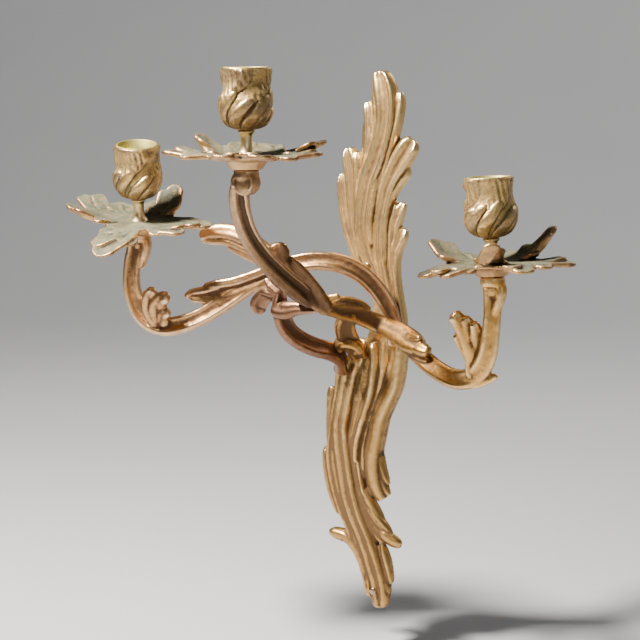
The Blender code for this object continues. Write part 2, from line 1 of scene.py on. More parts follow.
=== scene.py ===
"""The looks of a three-light gilt bronze wall sconce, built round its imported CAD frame.

Lengths are in millimetres. The wall is the plane Y = 0 and the sconce stands out
towards -Y. Tables of points give (x, d, z), where d is the distance from the wall.
Every cast piece is a few swept shells that a voxel remesh joins into one skin, with
its ridges and hollows measured afterwards for the finish to follow.
"""

import functools
import json
import math

import bpy
import numpy as np
from mathutils import Matrix, Vector, noise


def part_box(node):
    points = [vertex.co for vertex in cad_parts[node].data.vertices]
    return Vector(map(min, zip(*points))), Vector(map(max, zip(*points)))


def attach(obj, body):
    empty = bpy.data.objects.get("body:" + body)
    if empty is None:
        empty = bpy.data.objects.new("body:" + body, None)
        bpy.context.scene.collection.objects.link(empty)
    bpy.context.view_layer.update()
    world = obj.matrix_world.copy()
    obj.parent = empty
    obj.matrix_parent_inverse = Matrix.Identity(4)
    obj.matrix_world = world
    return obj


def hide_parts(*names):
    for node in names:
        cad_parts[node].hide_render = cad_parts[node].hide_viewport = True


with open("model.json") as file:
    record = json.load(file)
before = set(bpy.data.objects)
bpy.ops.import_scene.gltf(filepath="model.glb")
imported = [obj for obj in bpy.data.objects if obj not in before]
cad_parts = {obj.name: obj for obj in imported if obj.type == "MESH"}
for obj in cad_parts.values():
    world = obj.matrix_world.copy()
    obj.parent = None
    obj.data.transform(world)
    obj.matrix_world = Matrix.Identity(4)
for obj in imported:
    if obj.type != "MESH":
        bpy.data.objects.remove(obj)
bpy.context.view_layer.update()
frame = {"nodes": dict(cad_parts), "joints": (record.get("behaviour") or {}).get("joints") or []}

MM = 0.001

# How far a ridge stands out where the finishes take its relief as full
FINE_RELIEF = 0.35
BROAD_RELIEF = 1.6

# The sides that the ridged faces look towards
FACING = (0.42, -0.86, 0.28)
TAIL_FACING = (0.3, -0.4, -0.85)
BRACKET_FACING = (0.6, -0.62, 0.5)
FINGER_SPREAD = 1.12  # a leaf finger's real width against its table's

# Candle units, along each unit's own axis from the plane of its drip pan
WELL_FLOOR = -7.2
PAN_UNDER = -9.1
SEAT_TOP = -9.7
STEM_TOP = 17.0
CUP_HEIGHT = 41.0
CUP_FLOOR = 8.0
BORE_MIDDLE = 25.0

# Radii, the play between a liner and its cup, and half the depth of the centre arm's rolled end
LOBE_ROOT = 14
ROLL_RADIUS = 8.8
ROLL_HALF_DEPTH = 6.2
PIN_HEAD = 2.8
PIN_SHANK = 1.9
PLAY = 0.3

# The finish has painted shade round the place where the arms meet, and towards the plate's foot
KNOT = (-5, -70, 20)
KNOT_CORE = 40  # full painted shade within this distance
KNOT_REACH = 140  # and none beyond this one
FOOT_SHADE_STARTS = 30  # the height where the painted shade towards the foot starts
FOOT_SHADE_FULL = -200

# The view and the stage. The two places are in metres, as lights and the camera take them
CAMERA_PLACE = (0.6983, -1.3085, 0.2292)
CAMERA_AZIMUTH = 30
CAMERA_ELEVATION = 8.5
CAMERA_LENS = 110.8
CAMERA_SENSOR = 36
SCONCE_MIDDLE = (0, -0.08, 0)
FLOOR_LEVEL = -250


# -------- shells


def wall(rows):
    """Rows that start with (x, d, z) as rows that start with (x, y, z)."""
    made = np.array(rows, float)
    made[:, 1] *= -1
    return made


def unit(vectors):
    return vectors / np.maximum(np.linalg.norm(vectors, axis=-1, keepdims=True), 1e-9)


def smooth_rows(rows, between=6):
    """Rows read from a Catmull-Rom curve through the given ones."""
    rows = np.array(rows, float)
    ends = np.vstack([2 * rows[0] - rows[1], rows, 2 * rows[-1] - rows[-2]])
    t = np.arange(between) / between
    made = []
    for a, b, c, d in zip(ends, ends[1:], ends[2:], ends[3:]):
        square, cube = 2 * a - 5 * b + 4 * c - d, 3 * b - a - 3 * c + d
        made.append(0.5 * (2 * b + np.outer(t, c - a) + np.outer(t**2, square) + np.outer(t**3, cube)))
    made.append(rows[-1:])
    return np.vstack(made)


def round_ends(path, reach=0.8, column=4):
    """The path with short extra stations at both ends, where the section shrinks to a round end.

    The end reaches out by a share of the half width (column 3) or half thickness (column 4).
    """
    made = [path]
    for end, inner, before in ((path[0], path[1], True), (path[-1], path[-2], False)):
        way = unit(end[:3] - inner[:3])
        extra = []
        for degrees in (18, 36, 52, 66, 78, 86):
            s, c = math.sin(math.radians(degrees)), math.cos(math.radians(degrees))
            extra.append([*(end[:3] + way * s * reach * end[column]), end[3] * c, end[4] * c**0.7])
        made = [np.array(extra[::-1]), *made] if before else [*made, np.array(extra)]
    return np.vstack(made)


def axes(points, facing):
    """Along, across and outward directions at each point of a path."""
    along = unit(np.gradient(points, axis=0))
    facing = np.broadcast_to(np.array(facing, float), points.shape)
    out = unit(facing - along * (facing * along).sum(1, keepdims=True))
    return along, np.cross(along, out), out


def full_turn(steps):
    """Angles a step apart, once round."""
    return np.linspace(0, 2 * math.pi, steps, endpoint=False)


def circle(radius, height, steps):
    """Points round the Z axis at a height."""
    turn = full_turn(steps)
    return np.stack([np.cos(turn) * radius, np.sin(turn) * radius, np.full_like(turn, height)], axis=1)


def ring_faces(rings, count):
    """Quads between rings that follow each other along a tube."""
    faces = []
    for i in range(rings - 1):
        a, b = i * count, (i + 1) * count
        for j in range(count):
            k = (j + 1) % count
            faces.append((a + j, a + k, b + k, b + j))
    return faces


def tube_faces(rings, count):
    """Quads of a closed tube of rings, with both ends capped."""
    bottom = tuple(range(count - 1, -1, -1))
    top = tuple(range((rings - 1) * count, rings * count))
    return [*ring_faces(rings, count), bottom, top]


def loop_faces(steps, count):
    """Quads of a closed outline of points that is carried all the way round."""
    faces = []
    for i in range(steps):
        n = (i + 1) % steps
        for j in range(count):
            k = (j + 1) % count
            faces.append((i * count + j, n * count + j, n * count + k, i * count + k))
    return faces


def sweep(rows, section, facing=FACING, between=6, ends=0.8, column=4):
    """A section carried along rows of (x, y, z, half width, half thickness)."""
    path = round_ends(smooth_rows(rows, between), ends, column)
    points = path[:, :3]
    _, across, out = axes(points, facing)
    a = section[None, :, 0:1] * path[:, None, 3:4]
    b = section[None, :, 1:2] * path[:, None, 4:5]
    rings = points[:, None] + across[:, None] * a + out[:, None] * b
    return rings.reshape(-1, 3), tube_faces(len(path), len(section))


def band_section(groove=0.5, hollow=0.5, square=0.72, shift=0.08, count=52):
    """A band with two rounded ridges and a groove between them, on a rounded back."""
    turn = full_turn(count)
    c, s = np.cos(turn), np.sin(turn)
    a = np.sign(c) * np.abs(c) ** square
    b = np.sign(s) * np.abs(s) ** square
    dip = 1 - groove * np.exp(-((np.abs(a - shift) / hollow) ** 3))
    return np.stack([a, np.where(b > 0, b * dip, b)], axis=1)


def blade(rows, hollow=0.3, lean=0.0, bold=0.0, back=3.5, spread=1.24):
    """A leaf rib that stands on the wall side, from rows of (x, z, half width, crest).

    Its face is a dome, with a hollow down the middle, whose top leans to one side, and
    its sides turn back to the given distance from the wall. Its first row is its tip,
    which is the broadest for its size.
    """
    path = smooth_rows(rows)
    along = unit(np.gradient(path[:, :2], axis=0))
    normal = np.stack([along[:, 1], -along[:, 0]], axis=1)
    station = np.arange(len(path))
    # both ends round off over four stations, and a rib's tip swells
    from_end = np.clip(np.minimum(station, station[::-1]) / 4, 0, 1)
    ending = np.sqrt(np.clip(1 - (1 - from_end) ** 2, 0.1, 1))
    wider = spread * (1 + 0.18 * bold) * (1 + 0.22 * np.exp(-station / 9) * (spread > 1))
    # the face, from side to side
    a = np.linspace(-1, 1, 23)
    skew = a + lean * (1 - a * a)
    dome = (1 - np.abs(skew) ** (1.9 + 4.5 * hollow)) ** 0.95
    dish = np.exp(-((skew / 0.5) ** 2))
    rings = []
    for (x, z, width, crest), n, e, w, i in zip(path, normal, ending, wider, station):
        width = width * w * (0.42 + 0.58 * e)
        rise = min(0.72 * width + 1.3, 7.0)
        sink = hollow * (0.9 + 0.5 * math.exp(-i / 14))
        front = crest + 0.6 + 1.7 * bold - rise + rise * (dome - sink * dish) * e
        side = np.concatenate([a, [0.97, 0.0, -0.97]]) * width
        depth = np.concatenate([front, [back, back, back]])
        rings.append(np.stack([x + n[0] * side, -depth, z + n[1] * side], axis=1))
    return np.vstack(rings), tube_faces(len(path), len(a) + 3)


def finger_section(crease=0.16):
    """A flattened round section with a shallow crease down its front."""
    turn = full_turn(32)
    a, b = np.cos(turn), np.sign(np.sin(turn)) * np.abs(np.sin(turn)) ** 0.85
    return np.stack([a, np.where(b > 0, b * (1 - crease * np.exp(-((a / 0.3) ** 2))), b)], axis=1)


def fingers(tables):
    """Rounded leaf fingers along rows of (x, d, z, half width, half thickness)."""
    section = finger_section()
    made = []
    for rows in tables:
        rows = wall(rows)
        rows[:, 3] *= FINGER_SPREAD
        made.append(sweep(rows, section, ends=0.72, column=3))
    return made


def turned(profile, steps=72):
    """A closed outline of (radius, height) turned about Z."""
    radius, height = np.array(profile, float).T
    turn = full_turn(steps)
    rings = np.stack([np.outer(np.cos(turn), radius), np.outer(np.sin(turn), radius),
                      np.broadcast_to(height, (steps, len(height)))], axis=2)
    return rings.reshape(-1, 3), loop_faces(steps, len(height))


def spun(profile, steps=72):
    """A solid outline of (radius, height), from its middle over its rim and back, turned about Z."""
    rings = [circle(radius, height, steps) for radius, height in profile]
    return np.vstack(rings), tube_faces(len(profile), steps)


def ball(centre, radii, steps=20):
    """An ellipsoid shell with its axes along X, Y and Z."""
    latitudes = np.linspace(-math.pi / 2, math.pi / 2, steps)[1:-1]
    rings = [circle(math.cos(angle), math.sin(angle), steps * 2) for angle in latitudes]
    points = np.vstack(rings) * np.array(radii) + np.array(centre, float)
    return points, tube_faces(len(rings), steps * 2)


def block(low, high):
    """A box between two corners (x, d, z)."""
    (x0, d0, z0), (x1, d1, z1) = low, high
    ring = [(x0, -d0), (x1, -d0), (x1, -d1), (x0, -d1)]
    points = np.array([(x, y, z) for z in (z0, z1) for x, y in ring], float)
    return points, tube_faces(2, 4)


def roll(centre, axis, radius, half_depth):
    """A thick disc with a rounded rim, as the rolled end of an arm."""
    rim = 0.35 * radius
    profile = []
    for degrees in range(0, 91, 18):
        s, c = math.sin(math.radians(degrees)), math.cos(math.radians(degrees))
        profile.append((radius - rim + rim * c, half_depth - rim + rim * s))
    shape = [*[(r, -h) for r, h in profile[::-1]], *profile]
    points, faces = spun(shape, 40)
    turn = np.array(Vector((0, 0, 1)).rotation_difference(Vector(axis)).to_matrix())
    return points @ turn.T + np.array(centre, float), faces


def moved(shell, matrix):
    """A shell carried by a 4 x 4 matrix whose translation is in millimetres."""
    points, faces = shell
    return points @ matrix[:3, :3].T + matrix[:3, 3], faces


# -------- meshes


def mesh_object(name, shells):
    mesh = bpy.data.meshes.new(name)
    points, faces, count = [], [], 0
    for shell_points, shell_faces in shells:
        points.append(shell_points)
        faces += [tuple(i + count for i in face) for face in shell_faces]
        count += len(shell_points)
    mesh.from_pydata((np.vstack(points) * MM).tolist(), [], faces)
    mesh.validate()
    obj = bpy.data.objects.new(name, mesh)
    bpy.context.scene.collection.objects.link(obj)
    return obj


def applied(obj):
    """Makes an object's modifiers part of its mesh."""
    bpy.context.view_layer.update()
    evaluated = obj.evaluated_get(bpy.context.evaluated_depsgraph_get())
    mesh = bpy.data.meshes.new_from_object(evaluated)
    old = obj.data
    obj.modifiers.clear()
    obj.data = mesh
    bpy.data.meshes.remove(old)
    mesh.name = obj.name


def smoothed(values, starts, ends, count, share, rounds):
    """Values at the vertices, each moved a share of the way to its neighbours' mean, some times."""
    around = np.bincount(starts, minlength=count) + np.bincount(ends, minlength=count)
    for _ in range(rounds):
        columns = []
        for column in values.T:
            total = np.bincount(starts, weights=column[ends], minlength=count)
            total += np.bincount(ends, weights=column[starts], minlength=count)
            columns.append(total / np.maximum(around, 1))
        values = values + (np.stack(columns, axis=1) - values) * share
    return values


def vertex_arrays(mesh):
    """The mesh's vertices, in metres, and their normals."""
    co, normals = np.zeros((2, len(mesh.vertices) * 3))
    mesh.vertices.foreach_get("co", co)
    mesh.vertex_normals.foreach_get("vector", normals)
    return co.reshape(-1, 3), normals.reshape(-1, 3)


def measure_relief(obj, up):
    """Stores how far each vertex stands out from the surface around it, and how far it faces up."""
    mesh = obj.data
    count = len(mesh.vertices)
    co, normals = vertex_arrays(mesh)
    co = co / MM
    edges = np.zeros(len(mesh.edges) * 2, int)
    mesh.edges.foreach_get("vertices", edges)
    starts, ends = edges[0::2], edges[1::2]
    near = smoothed(co, starts, ends, count, 0.6, 8)
    far = smoothed(near, starts, ends, count, 0.6, 50)
    fine = ((co - near) * normals).sum(1)
    broad = ((co - far) * normals).sum(1)
    both = smoothed(np.stack([fine, broad], axis=1), starts, ends, count, 0.5, 2)
    values = {
        "fine": np.clip(both[:, 0] / FINE_RELIEF, -1, 1),
        "broad": np.clip(both[:, 1] / BROAD_RELIEF, -1, 1),
        "upward": normals @ np.array(up, float),
    }
    for name, value in values.items():
        mesh.attributes.new(name, "FLOAT", "POINT").data.foreach_set("value", value.astype(np.float32))


def roughen(obj, amount, size):
    """Moves each vertex a little along its normal, as a sand casting's skin does."""
    mesh = obj.data
    co, normals = vertex_arrays(mesh)
    shift = []
    for x, y, z in (co / (size * MM)).tolist():
        finer = noise.noise((z * 2.1, x * 2.1, y * 2.1))
        shift.append(noise.noise((x, y, z)) + 0.5 * finer)
    co += normals * (np.array(shift) * amount * MM)[:, None]
    mesh.vertices.foreach_set("co", co.ravel())
    mesh.update()


def cast(name, shells, material, body, replaces, voxel, rounds=3, up=(0, 0, 1), skin=0.15):
    """Shells joined into one skin, softened, measured, given their finish and put on a body."""
    obj = mesh_object(name, shells)
    join = obj.modifiers.new("join", "REMESH")
    join.mode = "VOXEL"
    join.voxel_size = voxel * MM
    soften = obj.modifiers.new("soften", "SMOOTH")
    soften.factor = 0.5
    soften.iterations = rounds
    applied(obj)
    roughen(obj, amount=skin, size=5.0)
    dress(obj, material, body, replaces, up)


def dress(obj, material, body, replaces, up):
    """Measures a finished mesh, gives it its material and puts it on a body in place of its nodes."""
    measure_relief(obj, up)
    obj.data.shade_smooth()
    obj.data.materials.clear()
    obj.data.materials.append(material)
    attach(obj, body)
    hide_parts(*replaces)


# -------- finishes


class Finish:
    """A material's node tree, built up one named step at a time."""

    def __init__(self, name):
        self.material = bpy.data.materials.new(name)
        self.material.use_nodes = True
        self.tree = self.material.node_tree
        self.shader = self.tree.nodes["Principled BSDF"]
        self.place = self.add("ShaderNodeTexCoord").outputs["Object"]

    def add(self, kind, inputs=(), **settings):
        node = self.tree.nodes.new(kind)
        for key, value in settings.items():
            setattr(node, key, value)
        for key, value in dict(inputs).items():
            self.put(node.inputs[key], value)
        return node

    def put(self, socket, value):
        if isinstance(value, bpy.types.NodeSocket):
            self.tree.links.new(value, socket)
        else:
            socket.default_value = value

    def noise(self, millimetres, detail=4.0, roughness=0.55, distortion=0.0):
        """Noise whose features are about this many millimetres across, from 0 to 1."""
        values = {"Vector": self.place, "Scale": 1 / (millimetres * MM), "Detail": detail,
                  "Roughness": roughness, "Distortion": distortion}
        return self.add("ShaderNodeTexNoise", values).outputs["Fac"]

    def measure(self, name):
        return self.add("ShaderNodeAttribute", attribute_name=name).outputs["Fac"]

    def maths(self, operation, a, b):
        return self.add("ShaderNodeMath", {0: a, 1: b}, operation=operation).outputs[0]

    def total(self, terms, start=0.0):
        """The sum of value times weight over the terms."""
        made = start
        for value, weight in terms:
            made = self.maths("ADD", self.maths("MULTIPLY", value, weight), made)
        return made

    def step(self, value, low, high):
        """0 below low, 1 above high, smooth in between."""
        values = {"Value": value, "From Min": low, "From Max": high}
        return self.add("ShaderNodeMapRange", values, interpolation_type="SMOOTHSTEP").outputs["Result"]

    def between(self, share, a, b, most=1.0):
        """A mix from a, at share 0, towards b, which takes over at most this much."""
        if most < 1:
            share = self.maths("MULTIPLY", share, most)
        node = self.add("ShaderNodeMix", data_type="RGBA")
        self.put(node.inputs[0], share)
        self.put(node.inputs[6], (*a, 1) if isinstance(a, tuple) else a)
        self.put(node.inputs[7], (*b, 1) if isinstance(b, tuple) else b)
        return node.outputs[2]

    def range(self, share, low, high):
        values = {"Value": share, "To Min": low, "To Max": high}
        return self.add("ShaderNodeMapRange", values).outputs["Result"]

    def bump(self, heights):
        """Bumps from (height, strength, depth in millimetres), each on top of the last."""
        normal = None
        for height, strength, depth in heights:
            values = {"Height": height, "Strength": strength, "Distance": depth * MM}
            if normal is not None:
                values["Normal"] = normal
            normal = self.add("ShaderNodeBump", values).outputs["Normal"]
        self.put(self.shader.inputs["Normal"], normal)

    def set(self, **sockets):
        for name, value in sockets.items():
            self.put(self.shader.inputs[name.replace("_", " ")], value)
        return self.material


def aged_gilding(name, gilt, wear_and_shade_gold, pale, grime_and_shade_colour, tint, wear_and_shade_share=0.5, grime_and_shade_share=0.5, tint_share=0.35,
                 polish=0.27, moss=None, under=0.16, lower=0.0, knot=0.0):
    """Old gilding on cast bronze: wear patches, ridges paled by rubbing and a painted highlight, brown
    grime and painted shade in the hollows, a dull tint.

    It has painted shade where it faces down (under), towards the foot of the plate (lower) and round the
    place where the arms meet (knot).
    """
    f = Finish(name)
    fine, broad, upward = f.measure("fine"), f.measure("broad"), f.measure("upward")
    height = f.add("ShaderNodeSeparateXYZ", {"Vector": f.place}).outputs["Z"]
    knot_place = [part * MM for part in KNOT]
    away = f.add("ShaderNodeVectorMath", {0: f.place, 1: knot_place}, operation="DISTANCE").outputs["Value"]
    # Painted shade: darker down towards the plate's foot, and round the place where the arms meet
    foot = f.maths("MULTIPLY", f.step(height, FOOT_SHADE_STARTS * MM, FOOT_SHADE_FULL * MM), lower)
    near_knot = f.maths("MULTIPLY", f.step(away, KNOT_REACH * MM, KNOT_CORE * MM), knot)
    painted_shade_by_place = f.maths("ADD", foot, near_knot)
    patches, blotches, clouds = f.noise(26, 5, 0.6, 0.4), f.noise(9, 5, 0.62), f.noise(14, 4, 0.6)
    grain, speck = f.noise(1.6, 6, 0.7), f.noise(0.7, 3, 0.6)
    # Deep gold in random wear patches, and also as painted shade on down-facing faces, towards the foot and
    # round the place where the arms meet
    wear_and_painted_shade = [(patches, 0.9), (blotches, 0.45), (grain, 0.3), (broad, 0.12), (upward, -under)]
    wear_and_painted_shade = f.total(wear_and_painted_shade, painted_shade_by_place)
    wear_and_painted_shade = f.step(wear_and_painted_shade, 1.02 - 0.5 * wear_and_shade_share, 1.3 - 0.5 * wear_and_shade_share)
    colour = f.between(wear_and_painted_shade, gilt, wear_and_shade_gold)
    tinted = f.total([(clouds, 1.0), (grain, 0.35), (broad, -0.12)])
    tinted = f.step(tinted, 0.9 - 0.4 * tint_share, 1.14 - 0.4 * tint_share)
    colour = f.between(tinted, colour, tint, 0.75)
    # Pale ridges: rubbing wear on the high places, and a painted highlight along them, held back where
    # painted shade is
    rubbing_and_highlight = [(fine, 0.6), (broad, 0.3), (grain, 0.5), (blotches, 0.6), (patches, 0.3)]
    rubbing_and_highlight = f.total(rubbing_and_highlight, f.maths("MULTIPLY", painted_shade_by_place, -0.9))
    rubbing_and_highlight = f.step(rubbing_and_highlight, 0.7, 1.4)
    colour = f.between(rubbing_and_highlight, colour, pale, 0.75)
    # Brown grime in the hollows, which is also painted shade there, and more painted shade on down-facing
    # faces, towards the foot and round the place where the arms meet
    low = [(fine, -0.6), (broad, -0.75), (blotches, 0.5), (grain, 0.5), (upward, -0.9 * under)]
    low = f.total(low, f.maths("MULTIPLY", painted_shade_by_place, 0.8))
    grime_and_painted_shade = f.step(low, 0.74 - 0.5 * grime_and_shade_share, 1.25 - 0.5 * grime_and_shade_share)
    if moss:
        grime_and_shade_colour = f.between(f.step(clouds, 0.45, 0.6), grime_and_shade_colour, moss)
    colour = f.between(grime_and_painted_shade, colour, grime_and_shade_colour, 0.85)
    specks = f.step(f.total([(grain, 0.8), (speck, 0.5), (blotches, 0.3)]), 0.86, 1.04)
    colour = f.between(specks, colour, grime_and_shade_colour, 0.45)
    dull = f.total([(grime_and_painted_shade, 0.36), (tinted, 0.1), (rubbing_and_highlight, -0.06), (grain, 0.18)], polish)
    f.bump([(blotches, 0.12, 0.6), (grain, 0.3, 0.35), (speck, 0.22, 0.16)])
    return f.set(Base_Color=colour, Roughness=dull, Metallic=f.range(grime_and_painted_shade, 1.0, 0.6))


def green_bronze(name, bare, edge, green, grey, grime_and_shade_colour, cover=0.5):
    """Bronze whose upward faces have gone grey-green, with bare brown edges and undersides."""
    f = Finish(name)
    fine, broad, upward = f.measure("fine"), f.measure("broad"), f.measure("upward")
    patches, blotches = f.noise(17, 5, 0.62, 0.5), f.noise(5, 5, 0.65)
    grain, speck = f.noise(1.5, 6, 0.7), f.noise(0.7, 3, 0.6)
    colour = f.between(f.step(patches, 0.38, 0.62), bare, edge)
    # Brown grime in the hollows, which is also painted shade there
    low = f.total([(fine, -0.7), (broad, -0.5), (blotches, 0.6), (grain, 0.3)])
    grime_and_painted_shade = f.step(low, 0.55, 1.0)
    colour = f.between(grime_and_painted_shade, colour, grime_and_shade_colour)
    powder = f.between(f.step(f.total([(patches, 0.6), (blotches, 0.6)]), 0.45, 0.75), green, grey)
    powder = f.between(f.step(f.total([(low, 0.8), (blotches, 0.3)]), 0.45, 1.05), powder, grime_and_shade_colour)
    facing_up = f.total([(upward, 1.0), (patches, 0.5), (blotches, 0.35), (broad, -0.3), (fine, -0.35)])
    broken = f.range(f.step(f.total([(blotches, 0.7), (grain, 0.4)]), 0.42, 0.6), 0.72, 0.97)
    covered = f.maths("MULTIPLY", f.step(facing_up, 1.1 - cover, 1.45 - cover), broken)
    colour = f.between(covered, colour, powder)
    f.bump([(blotches, 0.3, 0.7), (grain, 0.35, 0.35), (speck, 0.25, 0.15)])
    dull = f.total([(covered, 0.34), (grime_and_painted_shade, 0.12), (grain, 0.18)], 0.3)
    return f.set(Base_Color=colour, Roughness=dull, Metallic=f.range(covered, 0.95, 0.0),
                 Specular_IOR_Level=f.range(covered, 0.5, 0.06))


def turned_brass(name, bright, dull, stain, polish=0.2):
    """Smooth lathe-turned brass with fine rings, a brown bloom and specks in its hollows."""
    f = Finish(name)
    broad = f.measure("broad")
    blotches, grain = f.noise(6, 5, 0.6), f.noise(1.2, 5, 0.65)
    colour = f.between(f.step(blotches, 0.4, 0.65), bright, dull)
    stained = f.step(f.total([(blotches, 0.6), (grain, 0.4), (broad, -0.5)]), 0.52, 0.95)
    colour = f.between(stained, colour, stain, 0.8)
    rings = f.add("ShaderNodeTexWave", {"Vector": f.place, "Scale": 700.0, "Distortion": 1.5,
                                        "Detail": 2.0}, bands_direction="Z").outputs["Fac"]
    f.bump([(blotches, 0.12, 0.3), (rings, 0.05, 0.03), (grain, 0.1, 0.08)])
    rough = f.total([(stained, 0.22), (grain, 0.14)], polish)
    return f.set(Base_Color=colour, Roughness=rough, Metallic=f.range(stained, 1.0, 0.8))


def dull_steel(name, clean, rust):
    f = Finish(name)
    blotches, grain = f.noise(4, 5, 0.6), f.noise(0.9, 5, 0.65)
    rusty = f.step(f.total([(blotches, 0.8), (grain, 0.3)]), 0.55, 0.8)
    f.bump([(grain, 0.25, 0.15)])
    colour = f.between(rusty, clean, rust)
    return f.set(Base_Color=colour, Roughness=f.total([(rusty, 0.3), (grain, 0.15)], 0.32),
                 Metallic=f.range(rusty, 1.0, 0.5))


GOLD = (0.86, 0.54, 0.19)
# DEEP_GOLD: the plate's wear patches, and also its painted shade
DEEP_GOLD = (0.50, 0.285, 0.095)
# PALE_GOLD: ridges paled by rubbing, and a painted highlight
PALE_GOLD = (1.0, 0.76, 0.39)
# BROWN: grime, and painted shade in the hollows
BROWN = (0.075, 0.036, 0.014)
PURPLE_BROWN = (0.19, 0.105, 0.075)

# Each gilding's under, lower and knot set how much painted shade it gets on down-facing faces, towards the
# plate's foot and round the place where the arms meet
FINISHES = {
    "plate": aged_gilding("plate_gilding_painted_shade", GOLD, DEEP_GOLD, PALE_GOLD, BROWN, (0.44, 0.26, 0.15),
                          grime_and_shade_share=0.76, lower=0.5, under=0.24),
    "left": aged_gilding("copper_gilding", (0.60, 0.33, 0.13), (0.36, 0.18, 0.075), (0.94, 0.64, 0.36),
                         BROWN, PURPLE_BROWN, 0.6, 0.55, under=0.34, knot=0.15),
    "centre": aged_gilding("brown_gilding", (0.36, 0.215, 0.10), (0.24, 0.13, 0.06), (0.74, 0.52, 0.31),
                           BROWN, PURPLE_BROWN, 0.6, 0.6, under=0.3, knot=0.6),
    "right": aged_gilding("deep_gilding", (0.66, 0.37, 0.10), (0.44, 0.23, 0.065), (0.96, 0.69, 0.33),
                          BROWN, (0.38, 0.21, 0.11), 0.5, 0.42, under=0.3, knot=0.7),
    "bracket": aged_gilding("pink_gilding", (0.32, 0.18, 0.10), (0.22, 0.11, 0.06), (0.70, 0.46, 0.32),
                            BROWN, PURPLE_BROWN, 0.6, 0.6, under=0.3, knot=0.3),
    "cup": aged_gilding("cup_gilding", (0.72, 0.47, 0.17), (0.34, 0.20, 0.10), (1.0, 0.80, 0.46),
                        (0.075, 0.038, 0.014), (0.25, 0.15, 0.10), 0.6, 0.88, 0.5,
                        moss=(0.12, 0.13, 0.045)),
    "pan": green_bronze("green_bronze", (0.30, 0.16, 0.075), (0.54, 0.33, 0.14), (0.04, 0.055, 0.032),
                        (0.098, 0.105, 0.072), (0.035, 0.024, 0.012), cover=0.36),
    "stem": turned_brass("pale_brass", (0.94, 0.74, 0.40), (0.80, 0.56, 0.26), (0.38, 0.24, 0.11),
                         polish=0.26),
    "liner": turned_brass("yellow_brass", (0.80, 0.72, 0.26), (0.66, 0.56, 0.18), (0.30, 0.25, 0.07),
                          polish=0.28),
    "pin": turned_brass("pin_brass", (0.46, 0.32, 0.18), (0.34, 0.23, 0.14), (0.12, 0.08, 0.05)),
    "steel": dull_steel("dull_steel", (0.46, 0.45, 0.43), (0.20, 0.11, 0.06)),
}


# -------- backplate

